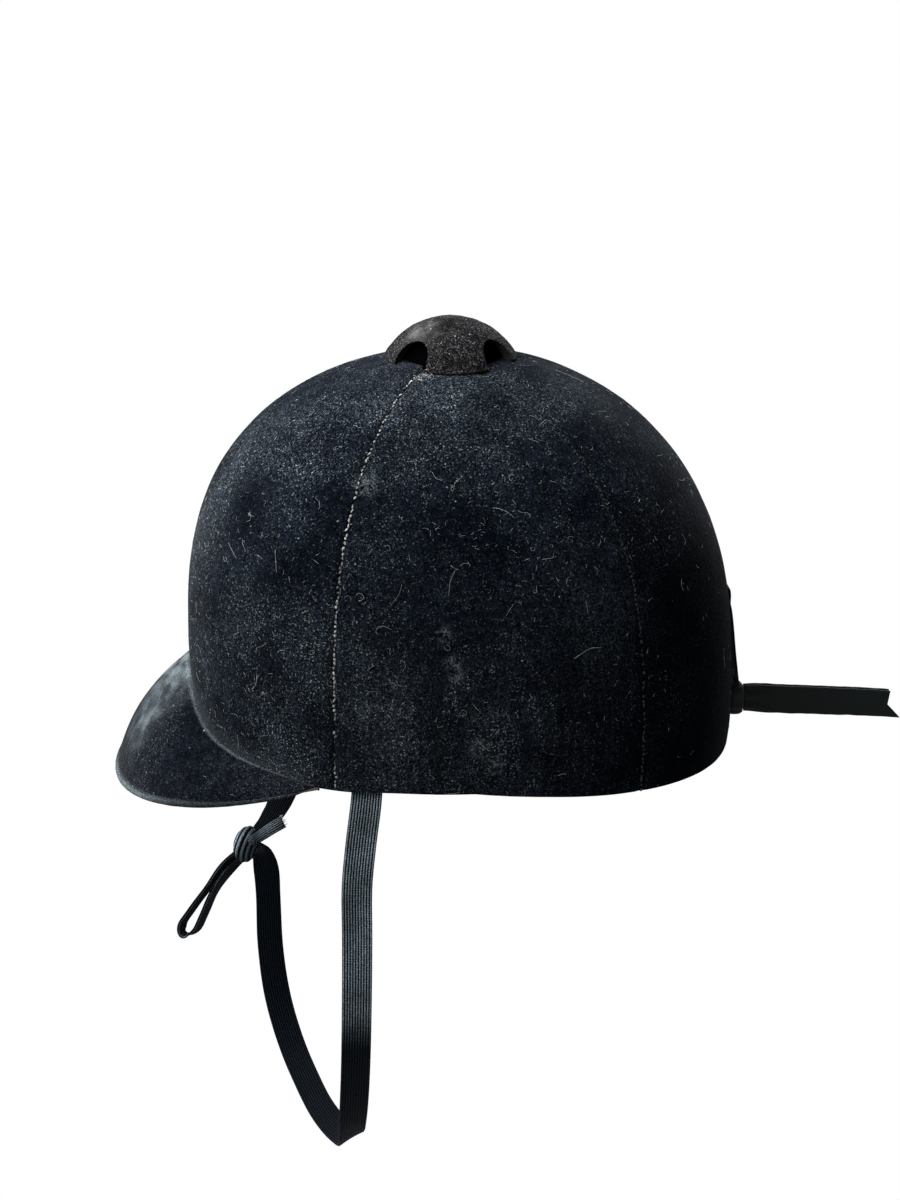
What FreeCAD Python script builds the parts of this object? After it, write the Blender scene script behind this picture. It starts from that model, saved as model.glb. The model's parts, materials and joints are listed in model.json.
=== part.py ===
"""Velvet covered riding cap with a ventilated button, elastic chin strap and ribbon bow.

Millimetres, +Z up.  The origin is the middle of the side rim's plane.  The peak points
along -Y and the wearer's left is +X.  Every wall layer is the same domed form taken at its
own depth below the outer velvet, so the layers nest whatever the sizes are.
"""
import FreeCAD
import Part
import math
import os

V = FreeCAD.Vector

# ---- outer form of the cap ----
HALF_WIDTH = 95.0            # middle plane to the outer velvet at each side
HALF_LENGTH_FRONT = 111.5    # middle to the brow
HALF_LENGTH_REAR = 120.5     # middle to the nape
CROWN_HEIGHT = 158.3         # side rim to the top of the crown
WIDEST_FRONT = 35.0          # level at which the brow stands out furthest
WIDEST_REAR = 5.0            # level at which the nape stands out furthest
CROWN_FULLNESS = 2.78        # exponent of the dome's upright curve
PLAN_FULLNESS = 2.2          # exponent of the oval seen from above
EGG = 0.04                   # share by which the rear is broader and the brow narrower
REAR_TUCK = 0.02             # share by which the nape turns in below its widest level
SIDE_TUCK = 0.01
REAR_DROP = 10.4             # how far the rim falls from the sides to the nape
REAR_DROP_CURVE = 1.5
SKIRT = 5.6                  # rough length left below the rim before it is trimmed

# ---- wall layers, from the outside in ----
COVER_T = 1.2
SHELL_T = 2.5
LINER_T = 6.0
LINER_STAVES = 12            # foam staves that make up the liner
LINING_T = 0.8
PAD_T = 2.4
SWEATBAND_T = 1.8
BINDING_T = 1.2
GAP = 0.3                    # clearance between neighbouring layers
SWEATBAND_TOP = 46.0
PAD_TOP = 42.0
PAD_FRONT_EDGE = -70.0       # the brow pad lies in front of this
PAD_REAR_EDGE = 78.0         # the nape pad lies behind this

# ---- seams of the velvet, as lines seen from above ----
FRONT_SEAM_ANGLE = 33.0
REAR_SEAM_INNER = (13.6, -3.4)
REAR_SEAM_OUTER = (82.0, 69.0)
THREAD_T = 0.5
SEAM_GAP = 1.1

# ---- peak ----
PEAK_HALF_SPAN = 58.5        # degrees each side of the brow
PEAK_END = 60.0              # degrees at which the peak would run out to nothing
PEAK_REACH = 33.2
PEAK_BROW_RISE = 20.0        # rise of the root just over the nose
PEAK_BROW_SPREAD = 17.0      # degrees
PEAK_SIDE_RISE = 10.0        # gentle rise of the root from the temples
PEAK_SIDE_CURVE = 1.4
PEAK_EDGE_LEVEL = -0.4       # level of the free edge beside the temples
PEAK_EDGE_SLOPE = 0.235      # fall of the free edge per mm forward
PEAK_EDGE_START = 67.0       # how far in front of the middle that slope starts
PEAK_EDGE_SOFT = 6.0         # how gradually it starts
PEAK_CROWN = 5.0             # bulge of the peak's top at the nose
PEAK_CROWN_SIDE = 1.5
PEAK_COVER_T = 1.0
PEAK_BOARD_T = 2.6
PEAK_LINING_T = 0.8
PEAK_TAPER = 0.62            # share of its thickness that the peak loses at the temples
PIPING_R = 1.2

# ---- ventilated button ----
VENT_R = 13.0                # air hole through the crown
BUTTON_R = 28.8
BUTTON_TOP = 172.4
BUTTON_WALL = 2.6
BUTTON_COVER_T = 0.9
BUTTON_ARCH_W = 15.6
BUTTON_ARCH_TOP = 165.0      # level of the top of each arch
BUTTON_TURN = 45.0
BOSS_R = 5.0
GAUZE_T = 0.5                # gauze under the button, behind its openings
INSERT_R = 3.2
INSERT_L = 8.0
SCREW_R = 2.0
SCREW_HEAD_R = 4.2
SCREW_HEAD_T = 2.6
WASHER_R = 5.0
WASHER_T = 0.8
BRIDGE_W = 11.0
BRIDGE_T = 1.6
BRIDGE_LAP = 4.5             # how far the bridge reaches past the air hole
LINER_HOLE_SPARE = 1.5
CROWN_PAD_R = 24.0
CROWN_PAD_T = 4.0
CROWN_PAD_HOLE_R = 3.0
CROWN_PAD_HOLES = 6
FIT = 0.15                   # clearance round pins and screws

# ---- chin elastic ----
ELASTIC_W = 12.7
ELASTIC_T = 1.4
ANCHOR_Y = -42.0
ANCHOR_Z = 20.0
ANCHOR_SPARE = 10.0          # elastic left above the rivet
TURN_R = 7.2                 # rounding of the elastic about its hinge, under the rim
TURN_GAP = 0.8               # between that rounding and the rim
RIVET_R = 2.0
RIVET_HEAD_R = 3.6
RIVET_HEAD_T = 1.1
RIVET_WASHER_R = 5.0
RIVET_WASHER_T = 1.0
POCKET_HALF = 11.0
# Bands are given by stations: middle point, direction across the band, width.
NEAR_RUN = [((82.0, -44.7, -24.5), (0.05, 1.0, -0.03), ELASTIC_W),
            ((81.0, -46.4, -42.0), (0.03, 1.0, -0.03), ELASTIC_W),
            ((79.0, -46.6, -68.0), (0.0, 1.0, 0.0), ELASTIC_W),
            ((75.5, -46.8, -94.3), (0.0, 1.0, 0.0), ELASTIC_W),
            ((64.0, -47.2, -138.1), (0.0, 1.0, 0.05), ELASTIC_W),
            ((41.0, -47.6, -177.5), (0.0, 0.95, 0.30), ELASTIC_W)]
UNDER_CHIN = [((20.0, -47.6, -195.6), (0.0, 0.84, 0.55), ELASTIC_W),
              ((6.0, -49.8, -201.4), (0.0, 0.82, 0.57), ELASTIC_W),
              ((-8.0, -53.6, -204.6), (0.0, 0.82, 0.57), ELASTIC_W)]
FAR_RUN = [((-24.0, -59.0, -203.8), (0.0, 0.84, 0.55), ELASTIC_W),
           ((-40.0, -64.3, -198.5), (0.0, 0.88, 0.47), ELASTIC_W),
           ((-53.0, -69.2, -190.8), (0.0, 0.92, 0.38), ELASTIC_W),
           ((-69.0, -76.2, -169.0), (0.0, 0.98, 0.19), ELASTIC_W),
           ((-76.0, -78.9, -145.0), (0.08, 0.99, 0.02), 12.2),
           ((-79.3, -79.0, -121.2), (0.15, 0.98, -0.03), 11.4),
           ((-80.0, -79.2, -107.9), (0.3, 0.95, 0.04), 11.4),
           ((-80.0, -81.6, -99.6), (0.4, 0.90, 0.05), 9.0),
           ((-80.0, -86.2, -95.6), (0.5, 0.80, 0.3), 7.0)]
KNOT = (-80.0, -88.6, -94.8)
KNOT_HALF = (5.0, 5.4, 8.0)
KNOT_LEAN = -14.0
LEADER = [((-80.0, -86.8, -93.5), (0.6, 0.50, -0.60), 7.0),
          ((-80.0, -81.0, -87.0), (0.6, 0.55, -0.58), 9.0),
          ((-80.0, -76.0, -80.0), (0.62, 0.66, -0.42), 11.0),
          ((-80.5, -71.5, -71.0), (0.55, 0.77, -0.33), ELASTIC_W),
          ((-82.0, -61.0, -48.0), (0.20, 0.92, -0.32), ELASTIC_W),
          ((-82.8, -49.5, -24.0), (-0.12, 0.97, -0.22), ELASTIC_W)]
LOOP_W = 9.0
KNOT_LOOP = [((-80.0, -91.0, -96.5), (0.9, 0.25, 0.1), 7.0),
             ((-80.0, -99.0, -104.0), (0.98, 0.0, 0.16), LOOP_W),
             ((-80.0, -107.6, -116.3), (0.98, 0.0, 0.16), LOOP_W),
             ((-80.0, -116.6, -128.6), (0.98, 0.0, 0.16), LOOP_W),
             ((-80.0, -120.9, -136.0), (0.98, 0.0, 0.16), LOOP_W),
             ((-80.0, -119.6, -140.6), (0.98, 0.0, 0.16), LOOP_W),
             ((-80.0, -115.2, -139.4), (0.98, 0.0, 0.16), LOOP_W),
             ((-80.0, -110.4, -131.0), (0.98, 0.0, 0.16), LOOP_W),
             ((-80.0, -105.2, -119.2), (0.98, 0.0, 0.16), LOOP_W),
             ((-80.0, -97.6, -108.2), (0.98, 0.0, 0.16), LOOP_W),
             ((-80.0, -90.0, -100.4), (0.9, 0.25, 0.1), 7.0)]
CUT_END = [((-77.5, -88.5, -92.5), (0.5, 0.45, -0.72), 7.0),
           ((-73.0, -84.5, -89.2), (0.6, 0.46, -0.65), 8.5),
           ((-71.0, -78.5, -84.6), (0.65, 0.46, -0.60), 9.0),
           ((-70.5, -72.5, -80.6), (0.65, 0.46, -0.60), 9.0)]

# ---- ribbon bow at the nape ----
RIBBON_W = 12.7
RIBBON_T = 0.8
BOW_LEVEL = 1.0
BOW_PATCH_REACH = 8.0
BOW_KNOT_W = 9.0
BOW_KNOT_T = 6.6
BOW_LOOP_TOP = 54.0
# How far the loop's outer layer stands off the velvet, from the knot up to the fold.
BOW_LOOP_RISE = (5.2, 4.0, 3.0, 2.4, 1.8, 1.1)
TAIL_LENGTH = 64.6
TAIL_FALL = 5.6
TAIL_NOTCH = 6.0
TAIL_SPACING = 2.2


def wave(value, power):
    """Signed-free power of a cosine or sine."""
    return abs(value) ** power


def dome_point(turn, level, depth=0.0):
    """Point of the domed form at a turn (degrees, -90 is the brow) and a level."""
    c = math.cos(math.radians(turn))
    s = math.sin(math.radians(turn))
    crown = CROWN_HEIGHT - depth
    widest = (WIDEST_FRONT + WIDEST_REAR) / 2 - (WIDEST_FRONT - WIDEST_REAR) / 2 * s
    rise = min(1.0, max(0.0, (level - widest) / (crown - widest)))
    size = math.sqrt(1.0 - rise ** CROWN_FULLNESS)
    low = max(0.0, widest - level) / (widest + REAR_DROP + SKIRT)
    tuck = (REAR_TUCK * s * s if s > 0 else 0.0) + SIDE_TUCK * c * c
    size *= 1.0 - tuck * low * low
    along = (HALF_LENGTH_REAR + HALF_LENGTH_FRONT) / 2
    along += (HALF_LENGTH_REAR - HALF_LENGTH_FRONT) / 2 * s - depth
    across = (HALF_WIDTH - depth) * (1.0 + EGG * s)
    oval = (wave(c, PLAN_FULLNESS) + wave(s, PLAN_FULLNESS)) ** (-1.0 / PLAN_FULLNESS)
    return V(across * size * oval * c, along * size * oval * s, level)


def level_of_radius(radius, depth):
    """Level at which the form at this depth is as narrow as the radius at its sides."""
    widest = (WIDEST_FRONT + WIDEST_REAR) / 2
    share = 1.0 - (radius / (HALF_WIDTH - depth)) ** 2
    return widest + (CROWN_HEIGHT - depth - widest) * share ** (1.0 / CROWN_FULLNESS)


def ring_wire(level, depth):
    """Closed smooth oval of the form at one level."""
    steps = 28
    curve = Part.BSplineCurve()
    points = [dome_point(360.0 * i / steps, level, depth) for i in range(steps)]
    curve.interpolate(points, PeriodicFlag=True)
    return Part.Wire([curve.toShape()])


def wall_levels(depth, bottom, top):
    """Levels for the sections of a wall, closer together towards the crown."""
    middle = (WIDEST_FRONT + WIDEST_REAR) / 2
    low = [bottom, bottom + (middle - bottom) * 0.4, middle]
    high = []
    steps = 11
    for i in range(1, steps + 1):
        high.append(middle + (top - middle) * math.sin(i / steps * math.pi / 2) ** 0.95)
    return low + high


def closed_solid(faces):
    """Solid from faces that close up."""
    shell = Part.makeShell(faces)
    shell.sewShape()
    solid = Part.makeSolid(shell)
    solid.fix(1e-5, 1e-5, 1e-5)
    return solid


def ring_between(outer_wires, inner_wires):
    """Hollow ring between two stacks of ovals."""
    outside = Part.makeLoft(outer_wires, False, False)
    inside = Part.makeLoft(inner_wires, False, False)
    foot = Part.makeRuledSurface(outer_wires[0].Edges[0], inner_wires[0].Edges[0])
    head = Part.makeRuledSurface(outer_wires[-1].Edges[0], inner_wires[-1].Edges[0])
    return closed_solid(outside.Faces + inside.Faces + foot.Faces + head.Faces)


def dome_layer(outer_depth, thickness, hole_radius):
    """Domed wall layer that runs from below the rim up to a hole in the crown."""
    stacks = []
    for depth in (outer_depth, outer_depth + thickness):
        top = level_of_radius(hole_radius, depth)
        levels = wall_levels(depth, -REAR_DROP - SKIRT, top)
        stacks.append([ring_wire(level, depth) for level in levels])
    return ring_between(stacks[0], stacks[1])


def band_layer(outer_depth, thickness, top):
    """Upright band of the wall from below the rim up to a level."""
    bottom = -REAR_DROP - SKIRT
    levels = [bottom + (top - bottom) * share for share in (0.0, 0.25, 0.5, 0.75, 1.0)]
    stacks = [[ring_wire(level, depth) for level in levels]
              for depth in (outer_depth, outer_depth + thickness)]
    return ring_between(stacks[0], stacks[1])


def spline_edge(points):
    """Smooth edge through the points."""
    curve = Part.BSplineCurve()
    curve.interpolate(points)
    return curve.toShape()


def prism(edge, floor_points, direction):
    """Solid below an upper edge, closed through the floor points and pushed along."""
    start = edge.Vertexes[0].Point
    end = edge.Vertexes[-1].Point
    path = [end] + floor_points + [start]
    lines = [Part.LineSegment(a, b).toShape() for a, b in zip(path, path[1:])]
    return Part.Face(Part.Wire([edge] + lines)).extrude(direction)


def rim_level(y):
    """Level of the rim at a place along the cap, away from the brow's arch."""
    if y <= 0:
        return 0.0
    share = min(1.0, y / HALF_LENGTH_REAR)
    return -REAR_DROP * (1.0 - (1.0 - share) ** REAR_DROP_CURVE)


def crease_level(span):
    """Level at which the peak's top leaves the cap, at degrees from the brow."""
    brow = PEAK_BROW_RISE * math.exp(-(span / PEAK_BROW_SPREAD) ** 2)
    return brow + PEAK_SIDE_RISE * (1.0 - abs(span / PEAK_END) ** PEAK_SIDE_CURVE)


def peak_stack():
    """Whole thickness of the peak at the brow."""
    return PEAK_COVER_T + PEAK_BOARD_T + PEAK_LINING_T + 2 * GAP


def below_rim(lift):
    """Everything under the rim when the rim is lifted by this much."""
    reach = 2 * HALF_LENGTH_REAR
    floor = -3 * (REAR_DROP + SKIRT)
    steps = 12
    ys = [HALF_LENGTH_REAR * i / steps for i in range(steps + 1)]
    front = Part.makeBox(2 * reach, reach, lift - floor, V(-reach, -reach, floor))
    edge = spline_edge([V(-reach, y, rim_level(y) + lift) for y in ys])
    ends = [V(-reach, ys[-1], floor), V(-reach, 0, floor)]
    rear = prism(edge, ends, V(2 * reach, 0, 0))
    back_top = rim_level(ys[-1]) + lift
    back = Part.makeBox(2 * reach, reach, back_top - floor, V(-reach, ys[-1], floor))
    return front.fuse(rear).fuse(back)


def brow_arch(lift):
    """Everything under the arch that the brow makes in the rim."""
    drop = peak_stack() * 1.4
    reach = 2 * HALF_LENGTH_FRONT
    points = []
    for i in range(-8, 9):
        span = 31.0 * i / 8
        level = crease_level(span)
        place = dome_point(-90.0 + span, level)
        points.append(V(place.x, -reach, level - drop + lift))
    floor = [V(points[-1].x, -reach, -SKIRT), V(points[0].x, -reach, -SKIRT)]
    return prism(spline_edge(points), floor, V(0, reach * 0.75, 0))


def trim_rim(shape, lift):
    """Wall layer cut off along the rim."""
    return shape.cut(below_rim(lift)).cut(brow_arch(lift))


def slab(inner, outer, thickness):
    """Upright thin box that follows a line seen from above."""
    dx, dy = outer[0] - inner[0], outer[1] - inner[1]
    length = math.hypot(dx, dy) * 3
    box = Part.makeBox(length, thickness, 3 * CROWN_HEIGHT,
                       V(0, -thickness / 2, -CROWN_HEIGHT))
    box.rotate(V(0, 0, 0), V(0, 0, 1), math.degrees(math.atan2(dy, dx)))
    box.translate(V(inner[0], inner[1], 0))
    return box


def seam_slabs(thickness):
    """One slab for each of the four seams."""
    turn = math.radians(FRONT_SEAM_ANGLE)
    outer = (HALF_WIDTH * math.cos(turn), -HALF_WIDTH * math.sin(turn))
    slabs = []
    for side in (1, -1):
        slabs.append(slab((0.0, 0.0), (side * outer[0], outer[1]), thickness))
        slabs.append(slab((side * REAR_SEAM_INNER[0], REAR_SEAM_INNER[1]),
                          (side * REAR_SEAM_OUTER[0], REAR_SEAM_OUTER[1]), thickness))
    return slabs


def cover_panels():
    """The four velvet panels and the thread in their seams."""
    cover = trim_rim(dome_layer(0.0, COVER_T, VENT_R + 1.0), BINDING_T + GAP)
    threads = [cover.common(cut) for cut in seam_slabs(THREAD_T)]
    panels = cover.cut(Part.makeCompound(seam_slabs(SEAM_GAP))).Solids
    panels.sort(key=lambda solid: solid.CenterOfMass.y)
    front, rear = panels[0], panels[-1]
    sides = sorted(panels[1:-1], key=lambda solid: solid.CenterOfMass.x)
    return {"velvet_front_panel": front, "velvet_rear_panel": rear,
            "velvet_right_panel": sides[0], "velvet_left_panel": sides[-1],
            "seam_threads": Part.makeCompound([t for one in threads for t in one.Solids])}


def shell_depth():
    """Depth of the hard shell's outer face."""
    return COVER_T + GAP


def liner_depth():
    """Depth of the crushable liner's outer face."""
    return shell_depth() + SHELL_T + GAP


def lining_depth():
    """Depth of the cloth lining's outer face."""
    return liner_depth() + LINER_T + GAP


def pad_depth():
    """Depth of the size pads' outer face."""
    return lining_depth() + LINING_T + GAP


def sweatband_depth():
    """Depth of the sweatband's outer face."""
    return pad_depth() + PAD_T + GAP


def wall_frame(side, y, level, depth):
    """Point on the form at a side, and the outward direction there."""
    low, high = -89.0, 89.0
    for _ in range(40):
        middle = (low + high) / 2
        if dome_point(middle, level, depth).y < y:
            low = middle
        else:
            high = middle
    here = dome_point(low, level, depth)
    along = dome_point(low + 0.5, level, depth) - dome_point(low - 0.5, level, depth)
    up = dome_point(low, level + 1, depth) - dome_point(low, level - 1, depth)
    out = along.cross(up)
    out.normalize()
    if side < 0:
        here = V(-here.x, here.y, here.z)
        out = V(-out.x, out.y, out.z)
    return here, out


def rivet_parts(side):
    """Rivet, washer and the fixed end of the elastic at one side."""
    tab_depth = liner_depth()
    start, out = wall_frame(side, ANCHOR_Y, ANCHOR_Z, shell_depth())
    inward = V(-out.x, -out.y, -out.z)
    through = SHELL_T + GAP + ELASTIC_T + GAP + RIVET_WASHER_T + GAP
    shank = Part.makeCylinder(RIVET_R, through, start, inward)
    head = Part.makeCone(RIVET_HEAD_R, RIVET_R, RIVET_HEAD_T, start, inward)
    sink = RIVET_HEAD_R - RIVET_R
    tail = Part.makeCylinder(RIVET_HEAD_R, RIVET_HEAD_T, start + inward * through, inward)
    rivet = shank.fuse(head).fuse(tail)
    seat = start + inward * (SHELL_T + GAP + ELASTIC_T + GAP)
    washer = Part.makeCylinder(RIVET_WASHER_R, RIVET_WASHER_T, seat, inward)
    washer = washer.cut(Part.makeCylinder(RIVET_R + FIT, through, seat, inward))
    hole = Part.makeCylinder(RIVET_R + FIT, 3 * through, start + out * through, inward)
    hole = hole.fuse(Part.makeCone(RIVET_HEAD_R + FIT + sink, RIVET_R + FIT, RIVET_HEAD_T * 2,
                                   start + out * RIVET_HEAD_T, inward))
    tab = band_layer(tab_depth, ELASTIC_T, ANCHOR_Z + ANCHOR_SPARE)
    keep = Part.makeBox(HALF_WIDTH, ELASTIC_W, ANCHOR_Z + ANCHOR_SPARE + GAP,
                        V(0 if side > 0 else -HALF_WIDTH, ANCHOR_Y - ELASTIC_W / 2, -GAP))
    tab = tab.common(keep).cut(hole)
    return rivet, washer, tab, hole


def pocket(side):
    """Room in the liner for the rivet and the end of the elastic."""
    width = 2 * POCKET_HALF
    top = ANCHOR_Z + ANCHOR_SPARE + 4 * GAP
    return Part.makeBox(HALF_WIDTH, width, top + REAR_DROP,
                        V(0 if side > 0 else -HALF_WIDTH, ANCHOR_Y - POCKET_HALF, -REAR_DROP))


def strap_slot(side):
    """Slot in the rim binding through which the elastic comes out."""
    slot = band_layer(liner_depth() - GAP, ELASTIC_T + 2 * GAP, BINDING_T + 3 * GAP)
    keep = Part.makeBox(HALF_WIDTH, ELASTIC_W + 2 * GAP, 4 * BINDING_T,
                        V(0 if side > 0 else -HALF_WIDTH,
                          ANCHOR_Y - ELASTIC_W / 2 - GAP, -2 * BINDING_T))
    return slot.common(keep)


def wall_parts():
    """Shell, liner, lining, pads, sweatband, binding and the strap's fixed ends."""
    lift = BINDING_T + GAP
    parts = {}
    left = rivet_parts(1)
    right = rivet_parts(-1)
    shell = trim_rim(dome_layer(shell_depth(), SHELL_T, VENT_R), lift)
    parts["outer_shell"] = shell.cut(left[3]).cut(right[3])
    for name, made in (("left", left), ("right", right)):
        parts["strap_rivet_" + name] = made[0]
        parts["strap_washer_" + name] = made[1]
        parts["strap_end_" + name] = made[2]
    liner = trim_rim(dome_layer(liner_depth(), LINER_T, liner_hole()), lift)
    liner = liner.cut(pocket(1)).cut(pocket(-1))
    parts["shock_liner"] = liner.cut(Part.makeCompound(stave_gaps()))
    parts["crown_lining"] = trim_rim(dome_layer(lining_depth(), LINING_T, VENT_R), lift)
    parts["sweatband"] = trim_rim(band_layer(sweatband_depth(), SWEATBAND_T, SWEATBAND_TOP), lift)
    pads = trim_rim(band_layer(pad_depth(), PAD_T, PAD_TOP), lift)
    reach = 2 * HALF_LENGTH_REAR
    front = Part.makeBox(2 * reach, reach, reach, V(-reach, PAD_FRONT_EDGE - reach, -reach / 2))
    rear = Part.makeBox(2 * reach, reach, reach, V(-reach, PAD_REAR_EDGE, -reach / 2))
    parts["brow_pad"] = pads.common(front)
    parts["nape_pad"] = pads.common(rear)
    binding = band_layer(0.0, sweatband_depth() + SWEATBAND_T, PEAK_BROW_RISE + PEAK_SIDE_RISE)
    binding = trim_rim(binding, 0.0)
    binding = binding.common(below_rim(BINDING_T).fuse(brow_arch(BINDING_T)))
    parts["rim_binding"] = binding.cut(strap_slot(1)).cut(strap_slot(-1))
    return parts


def stave_gaps():
    """Slabs that part the liner's staves, which run from the rim up to the air hole."""
    slabs = []
    start = liner_hole() / 2
    for index in range(LINER_STAVES):
        turn = math.radians((index + 0.5) * 360.0 / LINER_STAVES)
        across, along = math.cos(turn), math.sin(turn)
        slabs.append(slab((start * across, start * along), (HALF_WIDTH * across, HALF_WIDTH * along), GAP))
    return slabs


def liner_hole():
    """Radius of the hole in the liner that clears the button's bridge."""
    return VENT_R + BRIDGE_LAP + LINER_HOLE_SPARE


def edge_point(span):
    """Outermost point of the peak's piped edge at degrees from the brow."""
    turn = -90.0 + span
    foot = dome_point(turn, (WIDEST_FRONT + WIDEST_REAR) / 8)
    radius = math.hypot(foot.x, foot.y)
    reach = PEAK_REACH * (1.0 - (span / PEAK_END) ** 2) ** 0.8
    x = foot.x * (1.0 + reach / radius)
    y = foot.y * (1.0 + reach / radius)
    ahead = -y - PEAK_EDGE_START
    ahead = (math.hypot(ahead, PEAK_EDGE_SOFT) + ahead) / 2
    return V(x, y, PEAK_EDGE_LEVEL - PEAK_EDGE_SLOPE * ahead)


def peak_taper(span):
    """Share of its full thickness that the peak has at degrees from the brow."""
    return 1.0 - PEAK_TAPER * abs(span / PEAK_HALF_SPAN) ** 4


def peak_section(span, depth):
    """Curve of the peak's surface at a depth below its top, root first, free edge last."""
    taper = peak_taper(span)
    down = depth * taper
    root = dome_point(-90.0 + span, crease_level(span) - down, -GAP)
    edge = edge_point(span)
    out = V(edge.x - root.x, edge.y - root.y, 0)
    out.normalize()
    cord = (2 * PIPING_R + GAP) * taper
    edge = edge - out * (cord * 0.95 + down * 0.5) + V(0, 0, (PIPING_R - down * 0.85) * taper)
    chord = edge - root
    normal = out * -chord.z + V(0, 0, 1) * chord.dot(out)
    normal.normalize()
    bulge = PEAK_CROWN_SIDE + (PEAK_CROWN - PEAK_CROWN_SIDE) * math.exp(-(span / 25.0) ** 2)
    points = []
    for share in (0.0, 0.2, 0.4, 0.6, 0.8, 1.0):
        lift = bulge * taper * 4 * share * (1.0 - share)
        points.append(root + (edge - root) * share + normal * lift)
    return points


def peak_surface(depth):
    """Smooth surface of the peak at a depth below its top."""
    steps = 18
    spans = [PEAK_HALF_SPAN * (2.0 * i / steps - 1.0) for i in range(steps + 1)]
    surface = Part.BSplineSurface()
    surface.interpolate([peak_section(span, depth) for span in spans])
    return surface


def peak_layer(depth, thickness):
    """One layer of the peak between two depths."""
    top = peak_surface(depth)
    bottom = peak_surface(depth + thickness)
    faces = [top.toShape(), bottom.toShape()]
    u0, u1, v0, v1 = top.bounds()
    pairs = [(top.uIso(u0), bottom.uIso(u0)), (top.uIso(u1), bottom.uIso(u1)),
             (top.vIso(v0), bottom.vIso(v0)), (top.vIso(v1), bottom.vIso(v1))]
    for upper, lower in pairs:
        faces += Part.makeRuledSurface(upper.toShape(), lower.toShape()).Faces
    return closed_solid(faces)


def peak_piping():
    """Corded edge of the peak, thinner towards the temples."""
    steps = 20
    points = []
    sizes = []
    for i in range(steps + 1):
        span = PEAK_HALF_SPAN * (2.0 * i / steps - 1.0)
        edge = edge_point(span)
        out = V(edge.x, edge.y, 0)
        out.normalize()
        size = PIPING_R * peak_taper(span)
        points.append(edge - out * size)
        sizes.append(size)
    rings = []
    for i, point in enumerate(points):
        along = points[min(i + 1, steps)] - points[max(i - 1, 0)]
        rings.append(Part.Wire([Part.makeCircle(sizes[i], point, along)]))
    return Part.makeLoft(rings, True, False)


def peak_parts():
    """Velvet top, board, cloth underside and piping of the peak."""
    board = PEAK_COVER_T + GAP
    under = board + PEAK_BOARD_T + GAP
    return {"peak_top_cover": peak_layer(0.0, PEAK_COVER_T),
            "peak_board": peak_layer(board, PEAK_BOARD_T),
            "peak_underlining": peak_layer(under, PEAK_LINING_T),
            "peak_piping": peak_piping()}


def button_cap(radius, top, lower):
    """Solid domed cap of the button."""
    base = level_of_radius(BUTTON_R, 0.0)
    height = top - base
    ball = (radius ** 2 + height ** 2) / (2 * height)
    sphere = Part.makeSphere(ball, V(0, 0, top - ball))
    keep = Part.makeCylinder(radius, top - base + 1, V(0, 0, base))
    skirt = Part.makeCylinder(radius, base - lower, V(0, 0, lower))
    return sphere.common(keep).fuse(skirt)


def button_arches(width, top):
    """Four arched air openings on the diagonals."""
    base = level_of_radius(BUTTON_R, 0.0) - BUTTON_WALL * 2
    reach = 2 * BUTTON_R
    tools = []
    for turn in (BUTTON_TURN, BUTTON_TURN + 90.0):
        straight = top - width / 2 - base
        box = Part.makeBox(2 * reach, width, straight, V(-reach, -width / 2, base))
        arch = Part.makeCylinder(width / 2, 2 * reach, V(-reach, 0, base + straight), V(1, 0, 0))
        tool = box.fuse(arch)
        tool.rotate(V(0, 0, 0), V(0, 0, 1), turn)
        tools.append(tool)
    return tools[0].fuse(tools[1])


def crown_form(stand_off):
    """The crown as a solid, to fit the button's feet to it."""
    wires = [ring_wire(level, -stand_off)
             for level in wall_levels(-stand_off, 60.0, level_of_radius(3.0, -stand_off))]
    return Part.makeLoft(wires, True, False)


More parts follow.
